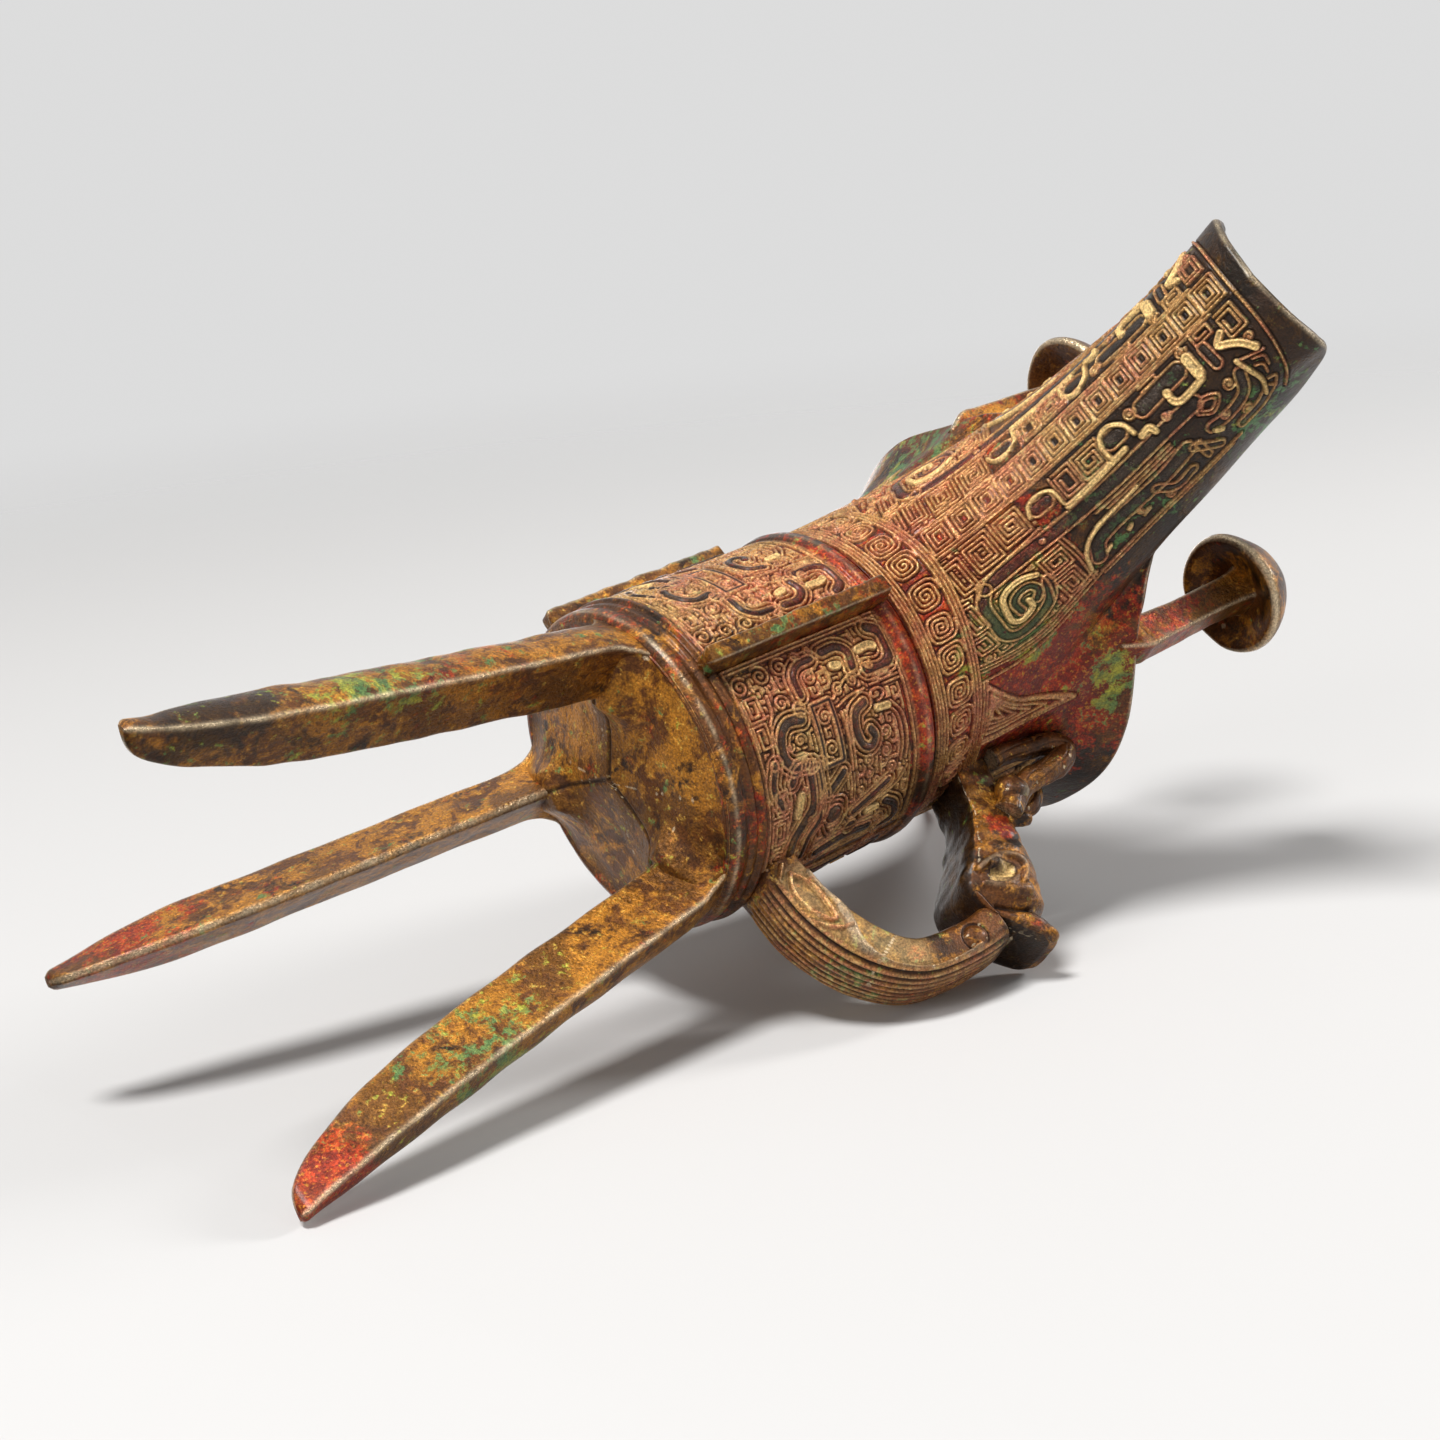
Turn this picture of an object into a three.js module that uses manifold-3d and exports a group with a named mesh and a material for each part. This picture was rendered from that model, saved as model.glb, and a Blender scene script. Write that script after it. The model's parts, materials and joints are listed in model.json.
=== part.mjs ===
import * as THREE from 'three'
import { mergeVertices } from 'three/addons/utils/BufferGeometryUtils.js'
import Module from 'manifold-3d'

// Ritual tripod wine cup in cast bronze. Millimetres, +Z up, soles at z = 0.
// The spout points to -X, the tail to +X and the handle to -Y.

// cup
const bottomHeight = 88
const bellyHeight = 45
const neckHeight = bottomHeight + bellyHeight
const bellyRadius = 27.6
const neckRadius = 26.5
const wall = 2.2
const bottomSag = 3
const bottomThickness = 3
const bottomRound = 1.6
const ringHeight = 0.7
const ringWidth = 1.4
const ringLift = 5.6
const ringEdge = 0.5
const collarWidth = 3.2
const collarStep = 0.6
const collarDrop = 1.2
const floorRound = 2.5
const floorRise = 12

// mouth, spout and tail, with their heights above the neck
const mouthWall = 2
const mouthHalfWidth = 35.7
const mouthRise = 38.3
const throatAt = 33
const throatRise = 38.8
const spoutReach = 86
const spoutHalfWidth = 14.2
const spoutRise = 58
const spoutDepth = 10.6
const spoutLip = 2.6
const tailReach = 78
const tailRise = 61
const spoutCut = 36
const tailCut = 30

// posts and caps
const postAt = 23.2
const postHalfGap = 24.2
const postLean = -0.02
const postWidth = 6.2
const postRise = 65
const postSink = 3
const capRadius = 10.9
const capHeight = 10.2
const capLip = 1.4
const capHollow = 2.2

// legs
const legTopRadius = 26.6
const legSoleRadius = 43.2
const legWidth = 9.2
const legDepth = 11
const legCrown = 1.1
const legEdge = 0.9
const soleDepth = 2.7
const soleWidth = 3.2
const legTaperHeight = 40
const legWidthTaper = 24
const legFlare = 1.14
const legRootHeight = 11
const legRootSpread = 1.9
const legAngles = [150, 30, 270]

// flanges
const flangeLift = 5
const flangeInset = 2
const flangeWidth = 3.2
const flangeHeight = 3.8

// beast head and horns
const headReach = 59.5
const headWidth = 16.8
const headRise = 10.6
const headDrop = 22.6
const headTall = 8
const lipThickness = 5.4
const hornRadius = 2.8
const hornSpread = 6.6
const hornRise = mouthRise * 0.43

// handle strap, in the YZ plane under the beast head
const handleWidth = 13.4
const handleThickness = 7.6
const handleInset = 2.8
const handleLift = 10.5
const handleRound = 1.2

const jointGap = 0.3

const mouthHeight = neckHeight + mouthRise
const throatHeight = neckHeight + throatRise
const spoutTipHeight = neckHeight + spoutRise
const tailTipHeight = neckHeight + tailRise
const postTop = neckHeight + postRise
const headRootHeight = neckHeight + headRise
const handleRootHeight = bottomHeight + handleLift
const handleTop = headRootHeight - headDrop * 0.69
const handleReach = headReach - handleInset

const manifold = await Module()
manifold.setup()

const toSolid = (geometry) => {
  const bare = new THREE.BufferGeometry()
  bare.setAttribute('position', geometry.getAttribute('position').clone())
  if (geometry.index) bare.setIndex(geometry.index.clone())
  const merged = mergeVertices(bare, 1e-4)
  return new manifold.Manifold(new manifold.Mesh({
    numProp: 3,
    vertProperties: new Float32Array(merged.getAttribute('position').array),
    triVerts: new Uint32Array(merged.index.array),
  }))
}

const toGeometry = (solid) => {
  const mesh = solid.getMesh()
  const geometry = new THREE.BufferGeometry()
  geometry.setAttribute('position', new THREE.BufferAttribute(Float32Array.from(mesh.vertProperties), 3))
  geometry.setIndex(new THREE.BufferAttribute(Uint32Array.from(mesh.triVerts), 1))
  geometry.computeVertexNormals()
  return geometry
}

// closed ring of sections, each section a closed loop of points, with end caps or wrapped round
const skin = (sections, wrapped) => {
  const count = sections[0].length
  const positions = sections.flat().flatMap((p) => [p.x, p.y, p.z])
  const index = []
  const last = wrapped ? sections.length : sections.length - 1
  for (let i = 0; i < last; i++) {
    const a = i * count
    const b = ((i + 1) % sections.length) * count
    for (let j = 0; j < count; j++) {
      const k = (j + 1) % count
      index.push(a + j, b + j, b + k, a + j, b + k, a + k)
    }
  }
  if (!wrapped) {
    const end = (sections.length - 1) * count
    for (let j = 1; j < count - 1; j++) {
      index.push(0, j, j + 1)
      index.push(end, end + j + 1, end + j)
    }
  }
  const point = (k) => new THREE.Vector3().fromArray(positions, 3 * k)
  let volume = 0
  for (let i = 0; i < index.length; i += 3) {
    volume += point(index[i]).dot(point(index[i + 1]).cross(point(index[i + 2])))
  }
  if (volume < 0) index.reverse()
  const geometry = new THREE.BufferGeometry()
  geometry.setAttribute('position', new THREE.Float32BufferAttribute(positions, 3))
  geometry.setIndex(index)
  return geometry
}

const revolve = (points, segments) => {
  const loop = points.map(([r, z]) => new THREE.Vector2(r, z))
  loop.push(loop[0].clone())
  return new THREE.LatheGeometry(loop, segments).rotateX(Math.PI / 2)
}

const block = (x0, x1, y0, y1, z0, z1) => {
  const box = new THREE.BoxGeometry(x1 - x0, y1 - y0, z1 - z0)
  box.translate((x0 + x1) / 2, (y0 + y1) / 2, (z0 + z1) / 2)
  return toSolid(box)
}

const far = 300
const group = new THREE.Group()
group.name = 'ritual_tripod_cup'

const bronze = (color, roughness) => new THREE.MeshStandardMaterial({ color, roughness, metalness: 0.85 })

const add = (name, geometry, material) => {
  const mesh = new THREE.Mesh(geometry, material)
  mesh.name = name
  group.add(mesh)
  return mesh
}

// Belly: an open round cup with a sagging bottom, a ring above the bottom edge and one below the neck.
const bottomCurve = (drop) => [0, 0.25, 0.5, 0.75, 1].map((share) =>
  [(bellyRadius - bottomRound) * share, bottomHeight - drop - bottomSag * (1 - share * share)])
const bellyOutline = (gap) => {
  const ringLow = bottomHeight + ringLift
  const collarHigh = neckHeight - collarDrop
  const collarLow = collarHigh - collarWidth
  const outline = [
    [bellyRadius, bottomHeight + bottomRound],
    [bellyRadius, ringLow - ringEdge],
    [bellyRadius + ringHeight, ringLow],
    [bellyRadius + ringHeight, ringLow + ringWidth],
    [bellyRadius, ringLow + ringWidth + ringEdge],
    [neckRadius + collarStep, collarLow - ringEdge],
    [neckRadius + collarStep + ringHeight, collarLow],
    [neckRadius + collarStep + ringHeight, collarHigh],
    [neckRadius, collarHigh + ringEdge],
    [neckRadius, neckHeight],
  ]
  return outline.map(([r, z]) => [r + gap, z])
}
const bellyProfile = () => {
  const floor = bellyRadius - wall - floorRound
  const points = [...bottomCurve(0), ...bellyOutline(0)]
  points.push([neckRadius - mouthWall, neckHeight], [bellyRadius - wall, bottomHeight + floorRise])
  for (const share of [1, 0.75, 0.5, 0.25, 0]) {
    points.push([floor * share, bottomHeight + bottomThickness - bottomSag * (1 - share * share) + share * share])
  }
  return points
}
// the space that the belly takes up, with the joint gap round it
const bellyRoom = toSolid(revolve([
  ...bottomCurve(jointGap),
  ...bellyOutline(jointGap),
  [neckRadius + jointGap, neckHeight + wall],
  [0, neckHeight + wall],
], 72))
const bellySolid = toSolid(revolve(bellyProfile(), 72))
add('cup_belly', toGeometry(bellySolid), bronze(0x6b4a24, 0.42))

// Upper cup: one skin spread from the round neck to the long rim, then parted into mouth, spout and tail.
const rimHalf = new THREE.CatmullRomCurve3([
  new THREE.Vector3(-spoutReach - spoutLip, 0, spoutTipHeight - spoutDepth),
  new THREE.Vector3(-spoutReach - spoutLip * 0.7, spoutHalfWidth * 0.6, spoutTipHeight - spoutDepth * 0.82),
  new THREE.Vector3(-spoutReach + spoutLip * 0.2, spoutHalfWidth * 0.95, spoutTipHeight - spoutDepth * 0.42),
  new THREE.Vector3(-spoutReach * 0.96, spoutHalfWidth, spoutTipHeight - spoutDepth * 0.08),
  new THREE.Vector3(-spoutReach * 0.88, spoutHalfWidth, spoutTipHeight + spoutDepth * 0.04),
  new THREE.Vector3(-spoutReach * 0.745, spoutHalfWidth, spoutTipHeight - spoutDepth * 0.15),
  new THREE.Vector3(-spoutReach * 0.57, spoutHalfWidth * 1.03, throatHeight + (spoutTipHeight - throatHeight) * 0.59),
  new THREE.Vector3(-throatAt * 1.15, spoutHalfWidth * 1.2, throatHeight + (spoutTipHeight - throatHeight) * 0.19),
  new THREE.Vector3(-throatAt * 0.94, (spoutHalfWidth + postHalfGap) * 0.6, throatHeight),
  new THREE.Vector3(-postAt, postHalfGap + postWidth / 2, throatHeight),
  new THREE.Vector3(-throatAt * 0.33, mouthHalfWidth * 0.95, mouthHeight),
  new THREE.Vector3(0, mouthHalfWidth, mouthHeight),
  new THREE.Vector3(tailCut * 0.5, mouthHalfWidth * 0.92, mouthHeight + (tailTipHeight - mouthHeight) * 0.04),
  new THREE.Vector3(tailCut, mouthHalfWidth * 0.74, mouthHeight + (tailTipHeight - mouthHeight) * 0.19),
  new THREE.Vector3(tailReach * 0.67, mouthHalfWidth * 0.4, mouthHeight + (tailTipHeight - mouthHeight) * 0.56),
  new THREE.Vector3(tailReach * 0.87, mouthHalfWidth * 0.21, mouthHeight + (tailTipHeight - mouthHeight) * 0.84),
  new THREE.Vector3(tailReach, 0, tailTipHeight),
], false, 'centripetal')

const columns = 56
const rows = 12
// share of the neck circle given to each stretch of the rim
const neckShare = (s) => Math.PI * (1 - (0.62 * s + 0.38 * s * s * (3 - 2 * s)))
const outerPoint = (side, s, v) => {
  const rim = rimHalf.getPoint(s)
  const angle = neckShare(s)
  const x0 = neckRadius * Math.cos(angle)
  const y0 = neckRadius * Math.sin(angle)
  const spread = 0.28 * v + 0.72 * Math.pow(v, 2.1)
  const x = x0 + (rim.x - x0) * spread
  const y = y0 + (rim.y - y0) * spread
  return new THREE.Vector3(x, side * y, neckHeight + (rim.z - neckHeight) * v)
}
const upperShell = (gap) => {
  const sections = []
  for (let i = 0; i < 2 * columns; i++) {
    const turn = i / columns
    const side = turn <= 1 ? 1 : -1
    const s = turn <= 1 ? turn : 2 - turn
    const outer = []
    const inner = []
    const step = 0.004
    for (let j = 0; j <= rows; j++) {
      const v = j / rows
      const p = outerPoint(side, s, v)
      const sLow = Math.max(step, Math.min(1 - step, s))
      const along = outerPoint(side, sLow + step, v).sub(outerPoint(side, sLow - step, v))
      const up = outerPoint(side, sLow, Math.min(1, v + step)).sub(outerPoint(side, sLow, Math.max(0, v - step)))
      const normal = along.cross(up).normalize().multiplyScalar(side)
      if (s < step || s > 1 - step) normal.y = 0
      if (j === 0) normal.set(-p.x, -p.y, 0)
      normal.normalize()
      outer.push(p.clone().addScaledVector(normal, -gap))
      inner.push(p.clone().addScaledVector(normal, mouthWall))
    }
    sections.push([...outer, ...inner.reverse()])
  }
  return toSolid(skin(sections, true))
}
const upper = upperShell(0)
const upperRoom = upperShell(jointGap)
const spoutSolid = upper.intersect(block(-far, -spoutCut, -far, far, 0, far))
const tailSolid = upper.intersect(block(tailCut, far, -far, far, 0, far))
const mouthSolid = upper.intersect(block(-spoutCut, tailCut, -far, far, 0, far))

// Legs: three-sided blades, flat side out, edge in, curving outward to a small flat sole.
const legRadiusAt = (z) => legSoleRadius - (legSoleRadius - legTopRadius) * Math.pow(z / bottomHeight, 1 / legFlare)
const legSection = (z) => {
  const root = Math.min(1, Math.max(0, 1 - (bottomHeight - bottomSag - z) / legRootHeight))
  const spread = legRootSpread * root * root
  const width = spread + soleWidth + (legWidth - soleWidth) * Math.sin(Math.min(1, z / legWidthTaper) * Math.PI / 2)
  const rest = 1 - Math.min(1, z / legTaperHeight)
  const depth = spread + soleDepth + (legDepth - soleDepth) * Math.sqrt(1 - rest * rest)
  const crown = legCrown * width / legWidth
  const radius = legRadiusAt(Math.min(z, bottomHeight))
  return [
    new THREE.Vector3(radius, -width / 2, z),
    new THREE.Vector3(radius + crown * 0.75, -width / 4, z),
    new THREE.Vector3(radius + crown, 0, z),
    new THREE.Vector3(radius + crown * 0.75, width / 4, z),
    new THREE.Vector3(radius, width / 2, z),
    new THREE.Vector3(radius - depth + legEdge, legEdge * 0.8, z),
    new THREE.Vector3(radius - depth, 0, z),
    new THREE.Vector3(radius - depth + legEdge, -legEdge * 0.8, z),
  ]
}
const legSteps = [0, 0.01, 0.03, 0.06, 0.1, 0.15, 0.2, 0.27, 0.34, 0.45, 0.58, 0.72, 0.87, 0.94, 1]
const legHeights = [...legSteps.map((share) => share * (bottomHeight - bottomSag)), bottomHeight + bottomSag * 2]
const legSolid = toSolid(skin(legHeights.map(legSection), false)).subtract(bellyRoom)
legAngles.forEach((angle, i) => {
  const leg = add(`leg_${i + 1}`, toGeometry(legSolid), bronze(0x7a5a26, 0.45))
  leg.rotation.z = THREE.MathUtils.degToRad(angle)
})

// Flanges: upright ribs on the belly, one under the spout, one at the back and one under the tail.
const flangeSolid = block(bellyRadius - wall, bellyRadius + ringHeight + flangeHeight, -flangeWidth / 2,
  flangeWidth / 2, bottomHeight + flangeLift, neckHeight - flangeInset).subtract(bellyRoom)
;[['front_flange', 180], ['back_flange', 90], ['tail_flange', 0]].forEach(([name, angle]) => {
  const flange = add(name, toGeometry(flangeSolid), bronze(0x55603a, 0.5))
  flange.rotation.z = THREE.MathUtils.degToRad(angle)
})

// Posts: square shafts that stand on the rim beside the spout, each with a mushroom cap.
const capProfile = () => {
  const points = []
  const steps = 8
  for (let i = 0; i <= steps; i++) {
    const a = (i / steps) * Math.PI / 2
    points.push([capRadius * Math.cos(a) * (1 - 0.12 * Math.sin(2 * a)), capLip + (capHeight - capLip) * Math.sin(a)])
  }
  points[steps][0] = 0
  points.push([0, capHollow * 1.2], [capRadius * 0.55, capHollow], [capRadius * 0.89, 0], [capRadius, capLip * 0.3])
  return points
}
const capSolid = toSolid(revolve(capProfile(), 40))
const postOut = (z) => postHalfGap + postLean * (z - throatHeight)
const posts = []
for (const side of [-1, 1]) {
  const half = postWidth / 2
  const levels = [[throatHeight - postSink, 1.3], [throatHeight + postSink * 0.5, 1.25],
    [throatHeight + postSink * 2, 1.02], [postTop + capHollow * 1.6, 0.92]]
  const shaft = skin(levels.map(([z, grow]) => [[-1, -1], [1, -1], [1, 1], [-1, 1]].map(([a, b]) =>
    new THREE.Vector3(-postAt + a * half * grow, side * postOut(z) + b * half * grow, z))), false)
  posts.push({ side, solid: toSolid(shaft) })
}
let mouthCut = mouthSolid
for (const { side, solid } of posts) {
  const name = side < 0 ? 'near' : 'far'
  const cap = capSolid.translate([-postAt, side * postOut(postTop), postTop])
  const shaft = solid.subtract(cap)
  mouthCut = mouthCut.subtract(solid)
  add(`${name}_post`, toGeometry(shaft), bronze(0x7d3f22, 0.45))
  add(`${name}_post_cap`, toGeometry(cap), bronze(0x5a4426, 0.4))
}
add('cup_mouth', toGeometry(mouthCut), bronze(0x6e4326, 0.45))
add('spout', toGeometry(spoutSolid), bronze(0x5d4524, 0.42))
add('tail', toGeometry(tailSolid), bronze(0x5d4524, 0.42))

// Handle: a rounded strap that swings out from the belly and up into the throat of a beast head.
const strapMiddle = handleReach - handleThickness / 2
const strapRise = handleTop - handleRootHeight
const strapLine = new THREE.CatmullRomCurve3([
  new THREE.Vector3(0, -bellyRadius + wall, handleRootHeight),
  new THREE.Vector3(0, -bellyRadius - handleThickness * 1.2, handleRootHeight + strapRise * 0.04),
  new THREE.Vector3(0, -strapMiddle + handleThickness * 0.84, handleRootHeight + strapRise * 0.2),
  new THREE.Vector3(0, -strapMiddle + handleThickness * 0.17, handleRootHeight + strapRise * 0.41),
  new THREE.Vector3(0, -strapMiddle, handleRootHeight + strapRise * 0.72),
  new THREE.Vector3(0, -strapMiddle + handleThickness * 0.08, handleTop),
], false, 'centripetal')
const strapSteps = 22
const strapSections = []
for (let i = 0; i <= strapSteps; i++) {
  const u = i / strapSteps
  const p = strapLine.getPoint(u)
  const along = strapLine.getTangent(u)
  const out = new THREE.Vector3(0, along.z, -along.y).negate()
  const half = handleThickness / 2
  const wide = handleWidth / 2
  const section = [[-wide, -half + handleRound], [-wide + handleRound, -half], [wide - handleRound, -half],
    [wide, -half + handleRound], [wide * 0.97, half * 0.16], [wide * 0.76, half * 0.63], [wide * 0.4, half * 0.92],
    [0, half], [-wide * 0.4, half * 0.92], [-wide * 0.76, half * 0.63], [-wide * 0.97, half * 0.16]]
  strapSections.push(section.map(([x, h]) => p.clone().addScaledVector(out, h).add(new THREE.Vector3(x, 0, 0))))
}
const strap = toSolid(skin(strapSections, false)).subtract(bellyRoom)

// Beast head over the handle: nape on the neck, brow, and a snout whose lip turns outward.
const headRing = (y, z, tilt, tall, wide) => {
  const ring = []
  for (let k = 0; k < 14; k++) {
    const a = ((k + 0.5) / 14) * 2 * Math.PI
    const c = Math.sign(Math.cos(a)) * Math.pow(Math.abs(Math.cos(a)), 0.7)
    const d = Math.sign(Math.sin(a)) * Math.pow(Math.abs(Math.sin(a)), 0.7)
    ring.push(new THREE.Vector3(wide * c, y - tall * d * Math.sin(tilt), z + tall * d * Math.cos(tilt)))
  }
  return ring
}
const headHalf = headWidth / 2
const headSpan = headReach - neckRadius
// share of the head's length, share of its drop, tilt, half height and half width of each section
const headStations = [
  [-0.03, 0, 0.15, headTall * 0.55, headHalf * 0.71],
  [0.16, 0.08, 0.3, headTall * 0.55, headHalf * 0.71],
  [0.36, 0.22, 0.5, headTall * 0.65, headHalf * 0.86],
  [0.53, 0.37, 0.62, headTall * 0.85, headHalf],
  [0.67, 0.5, 0.62, headTall, headHalf * 0.96],
  [0.77, 0.55, 0.5, headTall * 0.72, headHalf * 0.81],
  [0.87, 0.475, 0.4, lipThickness * 0.76, headHalf * 0.83],
  [0.965, 0.39, 0.3, lipThickness * 0.46, headHalf * 0.83],
  [1, 0.37, 0.3, lipThickness * 0.26, headHalf * 0.69],
]
const headRings = headStations.map(([share, drop, tilt, tall, wide]) =>
  headRing(-neckRadius - headSpan * share, headRootHeight - headDrop * drop, tilt, tall, wide))
const head = toSolid(skin(headRings, false)).subtract(upperRoom)

// Horns: a pair of round horns that rise from the brow and curl back to the cup.
const hornFoot = -neckRadius - headSpan * 0.35
const hornEnd = -neckRadius - wall * 0.8
const hornPath = [[0, -0.1], [0.12, 0.27], [0.27, 0.63], [0.45, 0.87], [0.72, 0.82], [0.91, 0.55], [1, 0.3]]
const hornLine = new THREE.CatmullRomCurve3(hornPath.map(([share, rise]) =>
  new THREE.Vector3(0, hornFoot + (hornEnd - hornFoot) * share, headRootHeight + hornRise * rise)), false, 'centripetal')
const hornSections = []
for (let i = 0; i <= 12; i++) {
  const u = i / 12
  const p = hornLine.getPoint(u)
  const along = hornLine.getTangent(u)
  const out = new THREE.Vector3(0, along.z, -along.y)
  const r = hornRadius * (1 - 0.3 * u)
  hornSections.push([0, 1, 2, 3, 4, 5, 6, 7].map((k) => p.clone().addScaledVector(out, r * Math.cos(k * Math.PI / 4))
    .add(new THREE.Vector3(r * Math.sin(k * Math.PI / 4), 0, 0))))
}
const horn = toSolid(skin(hornSections, false)).subtract(head)

add('handle_strap', toGeometry(strap.subtract(head)), bronze(0x5d4a2a, 0.4))
add('beast_head', toGeometry(head), bronze(0x54401f, 0.4))
for (const side of [-1, 1]) {
  const cut = horn.translate([side * hornSpread, 0, 0]).subtract(upperRoom)
  add(side < 0 ? 'left_horn' : 'right_horn', toGeometry(cut), bronze(0x54401f, 0.4))
}

// The cup stands on its soles, with its origin on the ground under the middle of its outline.
const middle = new THREE.Box3().setFromObject(group, true).getCenter(new THREE.Vector3())
group.position.set(-middle.x, -middle.y, 0)

export default group
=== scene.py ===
import bpy
import numpy as np
from mathutils import Matrix, Vector
from math import pi, sin, cos, radians
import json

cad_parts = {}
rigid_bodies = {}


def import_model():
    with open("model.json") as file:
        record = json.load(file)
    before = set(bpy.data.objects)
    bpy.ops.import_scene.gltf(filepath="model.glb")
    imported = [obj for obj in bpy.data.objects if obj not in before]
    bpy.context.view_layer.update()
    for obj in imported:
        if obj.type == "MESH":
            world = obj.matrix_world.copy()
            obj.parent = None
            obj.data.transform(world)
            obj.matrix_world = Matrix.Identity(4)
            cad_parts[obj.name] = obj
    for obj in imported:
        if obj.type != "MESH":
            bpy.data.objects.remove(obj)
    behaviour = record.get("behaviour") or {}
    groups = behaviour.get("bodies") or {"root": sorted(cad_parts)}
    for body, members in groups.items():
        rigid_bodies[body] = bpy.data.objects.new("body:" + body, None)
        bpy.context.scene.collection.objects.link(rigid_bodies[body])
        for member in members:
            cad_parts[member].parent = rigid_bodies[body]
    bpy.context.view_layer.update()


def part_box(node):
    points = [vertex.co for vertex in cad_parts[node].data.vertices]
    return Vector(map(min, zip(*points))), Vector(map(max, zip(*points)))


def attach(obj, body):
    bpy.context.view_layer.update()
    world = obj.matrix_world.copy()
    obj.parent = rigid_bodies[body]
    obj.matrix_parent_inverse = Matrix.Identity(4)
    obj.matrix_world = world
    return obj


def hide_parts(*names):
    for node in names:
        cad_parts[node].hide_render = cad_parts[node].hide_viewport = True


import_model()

# The cup is drawn in millimetres about its own upright axis: spout to -X, tail to +X, handle to -Y.
low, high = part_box("cup_belly")
axisX = (low[0] + high[0]) * 500
axisY = (low[1] + high[1]) * 500


def smoothPoint(points, t):
    # a centripetal curve through the points, read at t from 0 to 1
    points = np.asarray(points, float)
    t = np.clip(np.asarray(t, float), 0, 1)
    last = len(points) - 1
    p = t * last
    i = np.minimum(p.astype(int), last - 1)
    w = (p - i)[..., None]
    padded = np.vstack([2 * points[0] - points[1], points, 2 * points[-1] - points[-2]])
    p0, p1, p2, p3 = (padded[i + k] for k in range(4))
    pairs = ((p1 - p0), (p2 - p1), (p3 - p2))
    d0, d1, d2 = (np.sqrt(np.linalg.norm(d, axis=-1, keepdims=True)) for d in pairs)
    m1 = ((p1 - p0) / d0 - (p2 - p0) / (d0 + d1) + (p2 - p1) / d1) * d1
    m2 = ((p2 - p1) / d1 - (p3 - p1) / (d1 + d2) + (p3 - p2) / d2) * d1
    return p1 + m1 * w + (-3 * p1 + 3 * p2 - 2 * m1 - m2) * w ** 2 + (2 * p1 - 2 * p2 + m1 + m2) * w ** 3


def smoothPath(points, gap=0.4):
    # the same curve as a list of points a steady gap apart
    points = np.asarray(points, float)
    if len(points) < 3:
        return points
    fine = smoothPoint(points, np.linspace(0, 1, 40 * len(points)))
    along = np.concatenate([[0], np.cumsum(np.linalg.norm(np.diff(fine, axis=0), axis=1))])
    wanted = np.linspace(0, along[-1], max(3, int(along[-1] / gap) + 1))
    return np.stack([np.interp(wanted, along, fine[:, k]) for k in range(fine.shape[1])], -1)


def ramp(value, start, end):
    t = np.clip((value - start) / (end - start), 0, 1)
    return t * t * (3 - 2 * t)


def unit(v):
    return v / np.maximum(np.linalg.norm(v, axis=-1, keepdims=True), 1e-9)


def turnedBy(rings, degrees):
    a = radians(degrees)
    x, y, z = rings[..., 0], rings[..., 1], rings[..., 2]
    return np.stack([x * cos(a) - y * sin(a), x * sin(a) + y * cos(a), z], -1)


def roughened(rings, amount, size, seed, way=(1, 1, 1)):
    # each ring of points pushed in and out a little from its middle
    return rings + unit((rings - rings.mean(1,
                                            keepdims=True)) * way) * (amount * waviness(rings, size, seed))[..., None]


def waviness(p, size, seed):
    # a slow smooth unevenness of a hand-cast surface, from a few waves
    rng = np.random.default_rng(seed)
    total = np.zeros(p.shape[:-1])
    for k in range(7):
        way = rng.normal(size=3)
        way /= np.linalg.norm(way)
        total += np.sin((p @ way) * (2 * pi / size) * rng.uniform(0.6, 1.7) + rng.uniform(0, 6.28))
    return total / 3.5


# patterns are drawn on canvases in millimetres and then pressed into the bronze
def newCanvas(x0, x1, y0, y1, step=0.1):
    shape = (int(round((y1 - y0) / step)) + 1, int(round((x1 - x0) / step)) + 1)
    layers = {name: np.zeros(shape) for name in ("raised", "near", "ground", "groundGap", "thread", "gap", "cream")}
    return dict(x0=x0, y0=y0, step=step, shape=shape, **layers)


def distanceTo(x, y, points):
    # how far each place (x, y) is from a line of points
    best = np.full(np.shape(x), 99.0)
    for (ax, ay), (bx, by) in zip(points[:-1], points[1:]):
        dx, dy = bx - ax, by - ay
        t = np.clip(((x - ax) * dx + (y - ay) * dy) / max(dx * dx + dy * dy, 1e-9), 0, 1)
        best = np.minimum(best, np.hypot(x - ax - t * dx, y - ay - t * dy))
    return best


def pathDistance(canvas, points, reach):
    # the part of a canvas within reach of a path, and the distances there
    points = np.asarray(points, float)
    step, (tall, wide) = canvas["step"], canvas["shape"]
    start = np.floor((points.min(0) - reach - (canvas["x0"], canvas["y0"])) / step).astype(int)
    stop = np.ceil((points.max(0) + reach - (canvas["x0"], canvas["y0"])) / step).astype(int) + 1
    i0, j0 = np.maximum(start, 0)
    i1, j1 = min(stop[0], wide), min(stop[1], tall)
    if i0 >= i1 or j0 >= j1:
        return None, None
    x, y = np.meshgrid(canvas["x0"] + step * np.arange(i0, i1), canvas["y0"] + step * np.arange(j0, j1))
    return (slice(j0, j1), slice(i0, i1)), distanceTo(x, y, points)


def lay(canvas, layer, area, amount):
    canvas[layer][area] = np.maximum(canvas[layer][area], amount)


def stroke(distance, half, soft=0.13):
    return ramp(distance, half + soft, half - soft)


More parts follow.
